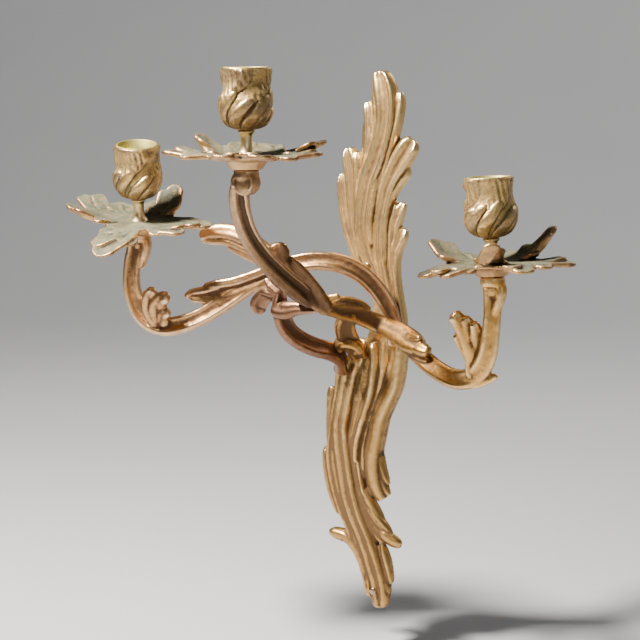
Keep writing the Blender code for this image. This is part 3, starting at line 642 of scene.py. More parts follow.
# Leaf ribs: (x, z, half width, crest), with the hollow down the middle and the way the top leans
UPPER_RIBS = [
    ([(-2, 196, 2.4, 9.8), (-1.4, 193.6, 4.2, 11), (0.4, 189, 6, 12.4), (3, 181, 7, 13.5),
      (4.5, 170, 6.8, 14.2), (4.5, 158, 6.3, 14.6), (2, 145, 6.2, 15), (-3, 130, 6.5, 15.3),
      (-9, 115, 6.5, 15.3), (-12, 100, 6.3, 15.3), (-14, 85, 6, 15.3), (-13, 70, 5.5, 15),
      (-8, 55, 4.8, 14.6), (-1, 42, 4.2, 14.3), (5, 28, 3.8, 14.2), (11, 10, 3.5, 13.8)], 0.5, 0.2, 0.7),
    ([(-5.8, 182, 1.3, 10.5), (-4, 172, 2.2, 12), (-2.5, 158, 2.2, 12.8), (-3, 145, 2, 13)], 0.0, 0.0),
    ([(-11.5, 173, 3.2, 11), (-9.5, 166, 3.8, 12.4), (-8.5, 152, 4, 13.2), (-9, 136, 4, 13.6),
      (-11, 120, 4, 13.6), (-15, 104, 3.8, 13.4)], 0.36, 0.1),
    ([(-13.6, 158.5, 1.3, 9.8), (-12.6, 148, 2.3, 11.4), (-12.5, 134, 2.2, 12.2),
      (-14, 120, 2, 12.4)], 0.0, 0.0),
    ([(-28, 138, 3.2, 11), (-25.5, 129, 5, 12.4), (-23, 115, 5, 13.2), (-21.5, 100, 5, 13.6),
      (-20, 85, 4.3, 13.8), (-17, 70, 3.8, 13.8), (-13, 55, 3.4, 13.6)], 0.42, -0.15, 0.3),
    ([(-20.6, 135.5, 1.8, 10.6), (-19.5, 127, 2.8, 12.4), (-18.6, 112, 2.6, 14), (-18.4, 95, 2.4, 14.4),
      (-17.5, 78, 2.2, 14.2)], 0.0, 0.0),
    ([(-32.8, 118.5, 2.4, 10.4), (-32, 109, 4, 11.8), (-30, 95, 4.6, 12.6), (-27, 80, 4.6, 13),
      (-22, 65, 4.2, 13.2), (-16, 50, 4, 13.2)], 0.4, -0.15),
    ([(15.6, 180.5, 1.8, 10), (15, 172, 3, 11.4), (13.2, 160, 3.4, 12.4), (10.5, 148, 3.2, 13),
      (7, 135, 3, 13.4), (3, 120, 2.8, 13.6), (0, 105, 2.6, 13.6), (-4, 90, 2.4, 13.6)], 0.28, 0.15),
    ([(26, 146, 4.4, 10.2), (21.5, 139, 6.2, 12), (14, 126, 6.2, 13.2), (8, 113, 5, 13.8),
      (4, 98, 4.4, 14), (1, 80, 4, 14), (1, 60, 3.8, 14.2), (4.5, 45, 3.6, 14.4), (9, 28, 3.6, 14.2),
      (15, 8, 3.4, 13.6)], 0.5, 0.2, 0.4),
    ([(-0.2, 118, 1, 14.6), (-3, 100, 1.3, 15.2), (-5.4, 84, 1.3, 15.2), (-5, 66, 1.2, 15)], 0.0, 0.0),
    ([(21.5, 125.5, 3.4, 9.6), (17, 119.5, 4.8, 11.2), (11, 109, 4, 12.2), (7, 99, 3.2, 12.8),
      (5, 86, 2.6, 13.2), (5, 68, 2.2, 13.4), (6, 50, 2, 13.4)], 0.36, 0.1),
    ([(18.6, 98.5, 2.4, 8.8), (15.5, 91, 3.2, 10), (12.5, 80, 3.2, 10.8),
      (10.5, 66, 3, 11.2)], 0.34, 0.1),
    ([(11.4, 99.5, 1.8, 9.2), (9.4, 91, 3.2, 10.8), (8, 80, 3.2, 11.6), (7.5, 66, 3, 12),
      (8.5, 48, 2.8, 12.4), (12, 28, 2.8, 12.6), (16.5, 8, 2.8, 12.4)], 0.36, 0.1),
    ([(19.4, 79, 3, 9.6), (16, 71, 4.2, 11.2), (12.8, 60, 3.4, 12), (12.3, 45, 3, 12.4),
      (14.5, 30, 3, 12.6), (18, 12, 3, 12.6), (20, 0, 2.6, 12)], 0.4, 0.15),
]
LOWER_RIBS = [
    ([(-35, -46, 2.4, 10.5), (-37, -60, 3, 11.6), (-39, -75, 3.3, 12.4), (-41, -90, 3.6, 12.8),
      (-41, -103, 4, 13), (-39, -115, 4.2, 13), (-36, -128, 4.2, 12.8), (-31, -142, 4, 12.6),
      (-26, -153, 3.6, 12.2), (-21, -166, 3.4, 12), (-15, -180, 3.2, 11.6), (-10.5, -195, 3, 11.2),
      (-9, -208, 2, 10.4)], 0.36, 0.0),
    ([(-22, -20, 4.2, 12.6), (-25, -35, 4.6, 13.2), (-28, -50, 4.8, 13.8), (-30, -62, 4.8, 14.2),
      (-32, -75, 4.8, 14.4), (-31, -90, 5.2, 14.4), (-29, -103, 5.2, 14.4), (-27, -115, 5.2, 14.4),
      (-24, -130, 5.2, 14), (-19, -145, 5, 13.8), (-13, -158, 4.8, 13.4), (-8, -170, 5, 13),
      (-4, -182, 5, 12.6), (0, -195, 5, 12.2), (2, -208, 4.4, 11.6),
      (2, -215, 3.4, 10.6)], 0.34, 0.1, 1.1),
    ([(-13, -18, 4, 12.4), (-11, -38, 4.4, 12.8), (-13, -52, 4.4, 13.2), (-16, -62, 4.4, 13.6),
      (-19, -75, 4.4, 13.8), (-22, -90, 4, 14), (-21.5, -103, 4, 14), (-20, -115, 4, 13.8),
      (-17, -128, 4, 13.4), (-12, -140, 4, 13), (-6, -151, 4.2, 12.4), (1, -160.5, 4, 11.6),
      (6, -164, 3, 10.4)], 0.3, 0.1, -0.5),
    ([(-16.5, -92, 1.2, 14.4), (-15.6, -104, 1.4, 14.4), (-13, -120, 1.4, 13.8),
      (-10.5, -130, 1, 13)], 0.0, 0.0),
    ([(-4, -8, 2.4, 14), (-2.4, -16, 2.2, 15), (-2, -28, 2.1, 15.6), (-4, -45, 2.2, 16),
      (-8.5, -60, 2.2, 16.2), (-13.3, -75, 2.2, 16), (-16.5, -88, 1.9, 15.6),
      (-17.6, -102, 1.2, 15)], 0.0, 0.1, 1.2),
    ([(5, -8, 3, 13.4), (4.5, -28, 3, 14), (2, -42, 3, 14.2), (-2, -55, 2.8, 14.4), (-6, -68, 2.8, 14.4),
      (-11, -85, 2.6, 14), (-12, -100, 2.6, 13.6), (-11.2, -115, 2, 12.6)], 0.0, 0.0),
    ([(16.5, 4, 2.8, 13), (17.5, -13, 3.2, 14), (16, -26, 3.8, 14.6), (13, -40, 4.2, 15),
      (7.2, -52, 4.6, 15), (1.4, -65, 4.6, 14.8), (-2, -80, 4.6, 14.4), (-4.8, -95, 4.6, 14),
      (-5, -108, 5, 13.4), (-2.6, -120, 4.6, 12.4), (2.8, -130.5, 2.8, 10.8)], 0.1, 0.35, 1.4),
    ([(2.4, -146.6, 1.3, 8.6), (-2.6, -142, 2.8, 11), (-8, -134, 3.2, 12.4),
      (-13, -122, 2.6, 13)], 0.1, -0.2),
    ([(9.4, -157, 1.4, 8.4), (4, -153, 3, 10.8), (-3, -145, 3.4, 12), (-10, -134, 3, 12.8)], 0.2, -0.2),
    ([(17.6, -165.6, 2.2, 8), (13, -163.4, 3.4, 9.8), (7, -160.6, 3.8, 11),
      (1, -155, 3.6, 11.8)], 0.1, -0.2),
    ([(6.6, -118.4, 1.2, 8.6), (3.4, -112, 2.4, 10.6), (0.6, -103, 2.8, 12),
      (-1, -92, 2.6, 12.8)], 0.1, -0.2),
    ([(7.4, -127, 1.3, 8.6), (3.4, -121, 2.6, 10.8), (0, -111, 3, 12.4), (-2, -100, 2.6, 13)], 0.1, -0.2),
    ([(-44.6, -161.6, 2.2, 9.6), (-37, -162.6, 3.6, 10.8), (-27, -164.6, 4, 11.6), (-19.5, -172, 4, 11.8),
      (-14, -183, 3.4, 11.6), (-9, -196, 2.6, 11)], 0.1, 0.0),
    ([(2, -166, 2, 10.6), (6.4, -180, 2.6, 10.6), (9, -190, 2, 9.8), (9.8, -196, 1.2, 9)], 0.0, 0.2),
    ([(3, -186, 2.4, 11), (6, -198, 2.4, 10.6), (7, -206.5, 1.6, 9.6)], 0.0, 0.2),
    ([(0, -205, 5.4, 12), (0, -213, 5.6, 11), (0.4, -217, 4, 9.6)], 0.0, 0.0),
    ([(-43.4, -46.5, 2.4, 8.8), (-43, -58, 3.4, 10), (-43, -72, 3.2, 11), (-43, -86, 2.8, 11.4),
      (-42, -100, 2.6, 11.4)], 0.1, 0.0),
    ([(-47.6, -94, 1.6, 8.8), (-47.4, -103, 2.6, 10.2), (-45, -118, 3, 11.2), (-41, -132, 3, 11.4),
      (-35, -146, 2.6, 11)], 0.0, 0.0),
    ([(-15, -7, 3, 10.6), (-17, -14, 5.4, 12), (-20, -26, 6, 12.6), (-24, -40, 5, 12.8)], 0.3, 0.0),
    ([(-36, -21, 1.6, 11), (-34, -32, 3.4, 12), (-35, -46, 3.2, 12), (-37, -60, 2.6, 11.8)], 0.1, 0.0),
]
CORE_RIBS = [
    [(3, 176, 5, 9), (1, 150, 9, 10), (-2, 130, 12, 10.6), (-12, 110, 17, 11), (-10, 90, 18, 11),
     (-7, 70, 16, 11), (-2, 50, 14, 11), (3, 30, 13, 11), (5, 10, 14, 11), (3, -10, 17, 11),
     (-5, -30, 21, 11), (-14, -50, 21, 11), (-18, -70, 20, 11), (-22, -90, 19, 11), (-22, -110, 17, 10.6),
     (-23, -125, 14, 10.2), (-22, -140, 11, 9.8), (-15, -155, 9, 9.4), (-9, -170, 8, 9),
     (-4, -188, 7, 8.6), (-1, -205, 5, 8)],
]
# What stands behind the plate, on the wall: low and high corners
PADS = [
    ((-8, 0, -14), (8, 8, 14)),
    ((-14, 0, 43), (4, 8, 59)),
    ((-8, 0, -210), (4, 8, -194)),
]
# Where the arms' feet stand on the plate
SEATS = [(15, 5), (-17, -16), (-30, -30)]


def build_backplate():
    shells = [blade(*rib) for rib in UPPER_RIBS + LOWER_RIBS]
    shells += [blade(rows, 0.0, back=4.5, spread=1.0) for rows in CORE_RIBS]
    shells += [block(low, high) for low, high in PADS]
    shells += [ball((x, -9, z), (6, 4, 6)) for x, z in SEATS]
    cast("backplate_casting", shells, FINISHES["plate"], "frame", ["backplate"],
         voxel=0.75, rounds=2)


# -------- arms

# Bands: (x, d, z, half width, half thickness)
LEFT_ARM = [
    (16, 15, -6, 5.5, 4), (15, 18, 14, 6.6, 5), (8, 24, 32, 7, 5), (-3, 34, 47, 7.2, 5),
    (-17, 45, 55, 7.2, 5), (-35, 54, 56, 7, 5), (-53, 60, 51, 6.8, 5), (-75, 68, 39, 6.6, 5),
    (-98, 76, 22, 6.6, 5), (-120, 84, 9, 6.8, 5), (-141, 92, 4, 7.2, 5), (-157, 96, 12, 7.2, 5.2),
    (-164, 99, 31, 6.8, 5.4), (-164, 99, 50, 6.4, 5.4), (-160, 98, 66, 6.8, 6), (-158, 98, 72, 7, 6),
]
CENTRE_ARM = [
    (-9, 97, 33, 5.4, 5), (-13.4, 106, 41, 7.6, 6.4), (-18, 125, 55, 7.4, 6), (-20, 145, 70, 7, 5.8),
    (-19, 165, 87, 7, 5.8), (-15, 180, 103, 7, 5.8), (-9.5, 191, 116, 7, 6), (-4, 197, 126, 6.6, 6),
]
RIGHT_ARM = [
    (-5.4, 89, 28.5, 5, 4.2), (-4, 80, 26, 5, 4.2), (-2, 66, 22, 5.5, 4.2), (3, 50, 18, 6.4, 4.6),
    (10, 37, 12, 7, 4.8), (21, 33, 7, 7, 5), (36, 38, 1, 7, 5), (52, 48, -6, 7, 5), (74, 62, -14, 7, 5),
    (98, 78, -17, 7.2, 5), (119, 90, -11, 7.2, 5.2), (131, 97, 4, 6.8, 5.4), (135, 99, 24, 6.2, 5.4),
    (136, 99, 42, 6.4, 5.6), (136, 99, 53, 7, 6),
]
TAIL = [
    (-15, 13, -19, 6.5, 4.2), (-13.6, 24, -11, 7.6, 4.2), (-12, 34, -5, 8.2, 4), (-9, 46, 5.5, 8, 3.8),
    (-4, 54, 13.5, 7.4, 3.8), (1, 58, 18.5, 5.4, 3.6),
]
BRACKET = [
    (-30, 10.5, -31, 6, 5), (-28, 17, -27.5, 7, 5.2), (-23, 29, -19, 7.2, 4.9),
    (-23.5, 44, -12, 7.4, 4.8), (-28.5, 60, -6.5, 7.6, 4.7), (-34, 74, 1, 7.6, 4.6),
    (-36.4, 84, 9.5, 7.4, 4.6), (-36.6, 90, 18.5, 7, 4.5), (-36.4, 94, 28, 6, 4.4), (-35, 96, 35, 4.6, 4),
]

# Leaf fingers: (x, d, z, half width, half thickness), each leaf a fan of them
LEFT_FINGERS = [
    # the leaf that splits off above the arm
    [(-52, 60, 54, 4, 3), (-68, 63, 64, 5, 3.2), (-85, 66, 73, 5.8, 3.2), (-100, 68, 76.5, 5.4, 3),
     (-112, 70, 75, 4.8, 2.8), (-118, 71, 72.5, 3.8, 2.4)],
    [(-50, 59, 51, 4, 3), (-66, 62, 58, 5, 3.2), (-82, 65, 65.5, 5.5, 3.2), (-97, 67, 70.5, 5, 3),
     (-110, 69, 70, 4, 2.6), (-117, 70, 69, 2.6, 2)],
    [(-56, 60, 50, 3.5, 3), (-72, 63, 56, 4.2, 3), (-86, 65, 61.5, 4, 2.8), (-97, 66, 65, 2.8, 2.2)],
    # the leaf on the arm: a channel between two raised edges, with curled tips
    [(-58, 64, 46, 5, 3.4), (-80, 70.6, 36, 6, 3.4), (-100, 76, 29.5, 7, 3.2), (-114, 79, 28.5, 5, 2.6),
     (-122, 81, 27.5, 3.6, 2.4)],
    [(-60, 67, 51, 3, 2.8), (-85, 74, 41, 3.2, 2.6), (-103, 79, 37, 3, 2.4), (-110, 80, 35.5, 2.2, 2.2)],
    [(-100, 78, 36, 2.6, 2.2), (-112, 81, 32.5, 2.6, 2.4), (-121, 82, 30.5, 2.4, 2.2),
     (-125.5, 83, 27.6, 1.9, 1.9)],
    [(-62, 66, 42, 3, 2.6), (-82, 72, 31, 3.2, 2.6), (-99, 77, 23, 3, 2.4), (-109, 79, 20.6, 2.2, 2)],
    [(-98, 77, 25, 2.6, 2.2), (-111, 80, 24.6, 2.6, 2.2), (-120, 82, 25, 2, 1.9)],
    # the fan in the arm's lower bend
    [(-144, 95, 8, 5.6, 4), (-147, 99, 18, 6, 4), (-146, 102, 26.6, 5.2, 3.8),
     (-142, 104.5, 32.4, 3.8, 3.4)],
    [(-142, 96, 10, 5.6, 4), (-140, 100, 20, 6.4, 4), (-134, 103.5, 26.6, 5.4, 3.8),
     (-129, 106, 28.6, 4.4, 3.6)],
    [(-140, 95, 8, 5, 3.6), (-136, 98.5, 14, 4.6, 3.4), (-131, 101.5, 16.8, 3.6, 3)],
    [(-149, 96, 16, 4, 3.4), (-151.5, 98.5, 24, 3.6, 3), (-149.7, 101, 29.8, 2.8, 2.6)],
]
CENTRE_FINGERS = [
    [(-10, 101, 34, 4, 3.5), (-18, 107, 48, 4.5, 3.5), (-24, 110, 60, 4.8, 3.4), (-26.5, 111.5, 68, 7, 4),
     (-27, 112, 71.5, 6.2, 3.8)],
    [(2, 94, 28, 5, 3.5), (-5, 98, 37, 7.4, 3.5), (-12, 101.5, 47, 7.4, 3.4), (-17, 104.5, 57, 5.4, 3),
     (-20, 106.5, 64, 2.4, 2)],
]
RIGHT_FINGERS = [
    # the large leaf in the bend
    [(119, 90, -9, 6, 4), (121, 94, 5, 7, 4), (118.5, 97, 16, 7, 4), (114, 101, 26, 5.6, 4),
     (111, 104.5, 31.6, 4.8, 4)],
    [(120, 91, -2, 6, 3.6), (120.6, 95, 11, 6.6, 3.6), (119.4, 98.6, 21, 6, 3.4),
     (117.6, 102, 29.4, 4, 3)],
    [(122, 92, 2, 5, 4), (124, 95, 13, 5.4, 4), (124.2, 98, 20, 4.8, 3.6), (123.4, 101, 26.5, 3.2, 3)],
    [(123, 92, 4, 4.6, 3.6), (126, 95, 13, 4, 3.4), (127.4, 97.4, 17.6, 2.8, 2.8)],
    [(118, 92, 2, 5, 3.6), (114, 96, 11, 4.8, 3.4), (110.6, 100, 17.6, 3.6, 3.2)],
    [(126, 94, 8, 2.2, 2), (128.8, 95, 14.8, 1.7, 1.7)],
    # the sheath round the arm, which ends in three curled tips
    [(18, 35, 9, 6, 4), (34, 43, 6, 7.6, 4.6), (49, 52, 2.4, 8, 4.8), (57, 57, 0.4, 6.6, 4.4)],
    [(48, 53, 6, 3.4, 2.6), (56, 58, 6.2, 2.6, 2.4), (60, 60.5, 6.8, 1.9, 1.8)],
    [(54, 56, 0, 5, 4), (62, 60.5, -1, 4.8, 4.4), (67, 62.5, -1.8, 4.2, 3.8)],
    [(50, 53, -4, 3.4, 3), (60, 58.5, -7.6, 2.6, 2.4), (66, 61, -8.6, 1.9, 1.8)],
    # the small leaf at the junction and the curl under the bend
    [(-4, 76, 28, 3.4, 3), (-1.5, 66, 28.5, 4.6, 3), (2, 56, 27, 4.8, 3), (6, 48, 24.6, 3.8, 2.8),
     (9, 43.5, 22, 2.4, 2.2)],
    [(-5, 91, 31, 3, 2.6), (3, 90, 34.6, 3.4, 2.6), (9, 89.6, 36.6, 2.6, 2.2)],
    [(106, 84, -17, 4, 3), (120, 90, -15.2, 4.2, 3), (130, 92, -12, 3.2, 2.6),
     (135.6, 92.5, -9.6, 2.1, 2)],
    # the hood at the tail's foot
    [(-2.4, 34, -12, 2.4, 2.4), (-4, 38, -7.6, 3, 2.8), (-8, 40, -5.2, 3.8, 3.2),
     (-12.5, 41, -4.6, 4.2, 3.4), (-17, 40.6, -6, 4, 3.2), (-19.5, 38, -9.4, 3, 2.8),
     (-19.5, 35, -12.4, 2, 2)],
]
BRACKET_FINGERS = [
    [(-42, 94, 36, 4, 3), (-50, 93, 33, 5.6, 3), (-56, 91.5, 27.6, 6.2, 3), (-57.4, 90, 23, 5, 2.8)],
    [(-36, 97.5, 38, 3, 2.6), (-43, 97.5, 43, 2.8, 2.4), (-45.6, 97, 46.2, 2, 2)],
    [(-38, 97, 36, 3, 2.6), (-47, 96, 37.4, 2.8, 2.4), (-51.6, 95, 37, 2, 2)],
    [(-38, 96, 25, 5.4, 4.4), (-29, 98.5, 25.4, 6, 4.2), (-19, 99, 27.4, 4.6, 3.4),
     (-11, 98.5, 27.4, 3.4, 2.8), (-5, 98, 27, 2.2, 2)],
]


def along_unit(matrix, height):
    """A point on a candle unit's axis, in the frame's axes, in millimetres."""
    return matrix[:3, :3] @ np.array([0, 0, height], float) + matrix[:3, 3]


def comma(centre, radius, front, turns=0.66):
    """The raised edge that curls over an arm's rolled end, round a low boss."""
    rows = []
    for share in np.linspace(0, 1, 14):
        angle = math.radians(200) - share * turns * 2 * math.pi
        reach = radius - 1.8
        place = (reach * math.cos(angle), 0.6 - front, reach * math.sin(angle))
        rows.append((*(np.array(centre) + place), 1.9 - 0.6 * share, 1.7 - 0.5 * share))
    boss = ball(np.array(centre) + (0.9, -front, -0.4), (5.4, 1.2, 5.6))
    return [sweep(rows, finger_section(0.0), (0, -1, 0), 3), boss]


def arm_top(matrix, scrolled):
    """The round seat under a drip pan, with the arm's rolled end below it or at its side."""
    seat = moved(turned([(2.9, -16), (8, -16), (8.6, -14), (8.6, SEAT_TOP), (2.9, SEAT_TOP)], 48), matrix)
    centre = along_unit(matrix, -17.8)
    if scrolled:
        rolled = roll(centre, (0, -1, 0), ROLL_RADIUS, ROLL_HALF_DEPTH)
        return [seat, rolled, *comma(centre, ROLL_RADIUS, ROLL_HALF_DEPTH)]
    x, y, z = centre
    side = [(x + 1, y, z - 17, 3.4, 4), (x + 4.5, y, z - 9, 4, 5),
            (x + 6, y, z - 1, 4.2, 5.4), (x + 4, y, z + 4, 4, 5)]
    return [seat, sweep(side, finger_section(0.0)), ball(centre, (7.4, 6.4, 8))]


def build_arms(units):
    band = band_section()
    left = [sweep(wall(LEFT_ARM), band), *fingers(LEFT_FINGERS), *arm_top(units["left"], False)]
    cast("left_arm_casting", left, FINISHES["left"], "frame", ["left_arm"], voxel=0.7)
    grooved = band_section(0.6, 0.34, shift=0.3)
    root = ball((-10, -96, 33), (5.6, 6, 5.6))
    centre = [sweep(wall(CENTRE_ARM), grooved), root, *fingers(CENTRE_FINGERS),
              *arm_top(units["centre"], True)]
    cast("centre_arm_casting", centre, FINISHES["centre"], "frame", ["centre_arm"],
         voxel=0.65)
    shallow = band_section(0.3, 0.6)
    tail_foot = ball((-15, -20, -12), (7, 6, 6))
    right = [sweep(wall(RIGHT_ARM), shallow), sweep(wall(TAIL), band, TAIL_FACING), tail_foot,
             *fingers(RIGHT_FINGERS), *arm_top(units["right"], False)]
    cast("right_arm_casting", right, FINISHES["right"], "frame", ["right_arm"], voxel=0.7)
    deep = band_section(0.62, 0.6, shift=0.1)
    foot = ball((-30, -15, -30), (5, 7.6, 4.8))
    scroll = [sweep(wall(BRACKET), deep, BRACKET_FACING), *fingers(BRACKET_FINGERS), foot]
    cast("bracket_casting", scroll, FINISHES["bracket"], "frame", ["scroll_bracket"],
         voxel=0.65)


# -------- candle units

# Drip pan lobes: bearing in degrees, reach, lift of the tip, width against the usual one
LOBES = {
    "left": [(21, 57, 0, 1), (-20, 48, 0, 0.9), (-82, 57, -14, 1.3), (207, 55, 14, 0.85),
             (180, 59, 10, 0.9), (146, 44, 3, 1), (106, 44, 4, 1), (72, 43, 24, 1)],
    "centre": [(39, 54, 11, 1), (8, 53, 3, 1), (-40, 44, 3, 1), (-88, 42, 3, 1), (208, 57, 3, 1),
               (172, 42, 17, 1), (135, 43, 8, 1), (88, 44, 6, 1)],
    "right": [(55, 50, 26, 0.9), (12, 57, -2, 1), (-30, 47, -3, 1), (-70, 37, 21, 0.8),
              (-112, 43, -6, 0.9), (220, 53, -6, 1), (184, 48, 19, 1), (145, 43, 5, 1), (102, 44, 4, 1)],
}
# The smaller fingers beside a lobe's middle one: side, share of its reach, half width, curl
SIDE_FINGERS = ((1, 0.88, 6.2, 6.5), (-1, 0.78, 5.6, -5.0), (1, 0.64, 4.6, 7.0))
# Turned outlines, as (radius, height)
PAN_PROFILE = [
    (3.1, WELL_FLOOR), (9.2, WELL_FLOOR), (10.4, -6.2), (13.4, -1.0), (16, -0.3), (22, 0.2), (27, 0.5),
    (27, -1.6), (20, -2.6), (15, -3.2), (13, -5.5), (10.8, PAN_UNDER), (3.1, PAN_UNDER),
]
STEM_PROFILE = [
    (2.8, 16.7), (5.2, 16.7), (5.7, 16.3), (5.7, 15.4), (5.2, 14.9), (4.4, 14.4), (4.1, 13), (3.95, 11),
    (3.95, 8.5), (4.05, 6.5), (4.4, 4.6), (5.1, 2.8), (6.1, 1.2), (6.9, 0.1), (7.3, -0.8), (7.5, -2),
    (7.5, -6.5), (7.2, -6.7), (2.8, -6.7),
]
# The cup without its leaves, as (height, radius)
CUP_OUTSIDE = [
    (0.0, 6.0), (0.9, 9.0), (2.4, 12.0), (4.6, 14.4), (7.2, 16.1), (10, 17.2), (13, 17.7), (16, 17.7),
    (19, 17.3), (22, 16.8), (25, 16.3), (28, 16.0), (31, 15.9), (34, 16.1), (37, 16.5), (39.5, 16.8),
    (40.6, 16.7), (41, 16.2),
]
# Where each cup's leaves start round its axis, and its nose: bearing, height, size, reach
CUP_LEAVES = {
    "left": (-2.1, (-0.35, 33.5, 5.0, 2.2)),
    "centre": (-2.5, (-0.45, 27.0, 3.6, 1.8)),
    "right": (-1.6, (3.55, 35.5, 5.0, 2.4)),
}


def liner_radius(height):
    """The liner's outer radius: a tapered bore for a candle's foot."""
    return 12.4 + 2.6 * (height - CUP_FLOOR) / (CUP_HEIGHT - CUP_FLOOR)


def pan_finger(bearing, start, reach, rise, halves, thick=1.8, swing=0.0, dish=0.5):
    """A finger of a drip pan, from one radius out to its tip, in the pan's own frame.

    Its height over the pan's plane follows rise, a function of the radius.
    """
    rows = []
    end = reach - 0.8 * halves[-1]
    for share, half in zip(np.linspace(0, 1, len(halves)), halves):
        radius = start + (end - start) * share
        angle = math.radians(bearing + swing * share**1.3)
        rows.append((radius * math.cos(angle), radius * math.sin(angle), rise(radius), half, thick))
    return sweep(rows, band_section(dish, 0.72, 0.5, 0.0, 44), (0, 0, 1), ends=0.8, column=3)


def pan_lobe(bearing, reach, lift, girth, kind):
    """A rocaille lobe: a broad middle finger with smaller ones at its sides, which curl up or down."""
    turn = 1 if kind % 2 else -1

    def rise(radius, extra=0.0):
        out = max(radius - LOBE_ROOT, 0) / (reach - LOBE_ROOT)
        return -0.6 + lift * out**2 + extra * out**3

    halves = [girth * half for half in (8, 10, 11.6, 11.2, 8)]
    made = [pan_finger(bearing, LOBE_ROOT - 2, reach, rise, halves, 2.1, 5 * turn, 0.6)]
    less_when_drooping = max(0.25, 1 + min(lift, 0) / 18)
    for side, length, half, curl in SIDE_FINGERS:
        curl = curl * less_when_drooping
        swing = side * turn * (15 if length > 0.7 else 27)
        halves = [girth * part for part in (6, 7.6, 7, half)]
        curled = functools.partial(rise, extra=curl)
        made.append(pan_finger(bearing, LOBE_ROOT, reach * length, curled, halves, 1.8, swing, 0.4))
    return made


def build_pan(name, matrix):
    shells = [turned(PAN_PROFILE)]
    for i, lobe in enumerate(LOBES[name]):
        shells += pan_lobe(*lobe, i)
    shells = [moved(shell, matrix) for shell in shells]
    cast(f"drip_pan_{name}_casting", shells, FINISHES["pan"], f"pan_{name}", [f"drip_pan_{name}"],
         voxel=0.7, up=matrix[:3, 2], skin=0.12)


def build_stem(name, matrix):
    obj = mesh_object(f"stem_{name}_turned", [moved(turned(STEM_PROFILE, 96), matrix)])
    dress(obj, FINISHES["stem"], f"cup_{name}", [f"stem_{name}"], matrix[:3, 2])


def gadroons(turn, height, count, foot, tips, twist, relief, offset, seed):
    """The relief of a ring of rounded lobes that twist as they rise and end in swollen tips."""
    made = np.zeros_like(turn)
    for i in range(count):
        tip = tips[i % len(tips)]
        share = np.clip((height - foot) / (tip - foot), 0, 1.3)
        middle = offset + 2 * math.pi * i / count + twist * share**1.2 + 0.1 * math.sin(2.3 * i + seed)
        away = (turn - middle + math.pi) % (2 * math.pi) - math.pi
        half = math.pi / count * (1.02 - 0.12 * np.clip(share, 0, 1) + 0.1 * math.sin(1.7 * i + seed))
        side = np.abs(away) / half
        over = np.clip((share - 0.86) / 0.2, 0, 1)
        body = np.sqrt(np.clip(1 - side**2.2 - over**2.2, 0, 1))
        swell = relief * (0.62 + 0.38 * np.clip(share, 0, 1) ** 2)
        made = np.maximum(made, body * swell)
    return made


def folds(turn, height, count, low, twist, relief, offset):
    """Broad slanting leaf folds: each rises slowly to a crest and then drops off sharply."""
    share = np.clip((height - low) / (CUP_HEIGHT - low), 0, 1)
    bend = 0.22 * np.sin(share * 5.0 + offset)
    phase = ((turn - offset - twist * share - bend) * count / (2 * math.pi)) % 1.0
    slope = np.where(phase < 0.72, (phase / 0.72) ** 1.4, np.clip((1 - phase) / 0.28, 0, 1) ** 0.8)
    return relief * slope * np.clip(share / 0.15, 0, 1)


def build_cup(name, matrix, facing, nose):
    """A cup of twisted leaves over a plain tapered bore. Its nose is a curled leaf tip that stands out."""
    steps = 320
    rise = smooth_rows(CUP_OUTSIDE, 9)
    angle, height = np.meshgrid(full_turn(steps), rise[:, 0], indexing="ij")
    radius = np.broadcast_to(rise[:, 1], angle.shape).copy()
    # a ring of lobes below, leaf folds with fine veins above, and the nose
    lower = gadroons(angle, height, count=9, foot=-1, tips=(25, 20.5, 23, 27, 19, 24), twist=0.95,
                     relief=2.7, offset=facing, seed=facing)
    upper = folds(angle, height, count=4, low=17, twist=0.9, relief=2.0, offset=facing + 0.9)
    veins = 0.22 * np.sin(angle * 26 + height * 0.35) * np.clip((upper - 0.5) / 0.8, 0, 1)
    bearing, level, size, out = nose
    away = (angle - bearing + math.pi) % (2 * math.pi) - math.pi
    knob = out * np.exp(-(((away * 16) / size) ** 2) - ((height - level) / (0.7 * size)) ** 2)
    fade = np.clip(height / 2.5, 0, 1) * np.clip((40.8 - height) / 2.2, 0.0, 1)
    radius += (np.maximum(lower, upper + veins) + knob - 1.0) * fade
    # the bore, from the rim down, and the hole for the stud, both as (height, radius)
    mouth, floor = liner_radius(CUP_HEIGHT) + PLAY, liner_radius(CUP_FLOOR) + PLAY
    inside = np.array([(CUP_HEIGHT, mouth), (BORE_MIDDLE, (mouth + floor) / 2), (CUP_FLOOR, floor),
                       (CUP_FLOOR, 3.0), (5.3, 2.9), (0.0, 2.9)])
    inside = np.broadcast_to(inside, (steps, *inside.shape))
    loop_height = np.concatenate([height, inside[..., 0]], axis=1)
    loop_radius = np.concatenate([radius, inside[..., 1]], axis=1)
    x, y = loop_radius * np.cos(angle[:, :1]), loop_radius * np.sin(angle[:, :1])
    points = np.stack([x, y, loop_height + STEM_TOP], axis=2)
    shell = moved((points.reshape(-1, 3), loop_faces(steps, points.shape[1])), matrix)
    plug = moved(spun([(3.4, STEM_TOP + 5.3), (3.4, STEM_TOP + 7.9)], 24), matrix)
    obj = mesh_object(f"candle_cup_{name}_casting", [shell, plug])
    soften = obj.modifiers.new("soften", "SMOOTH")
    soften.factor, soften.iterations = 0.5, 1
    applied(obj)
    roughen(obj, amount=0.16, size=3.5)
    dress(obj, FINISHES["cup"], f"cup_{name}", [f"candle_cup_{name}"], matrix[:3, 2])


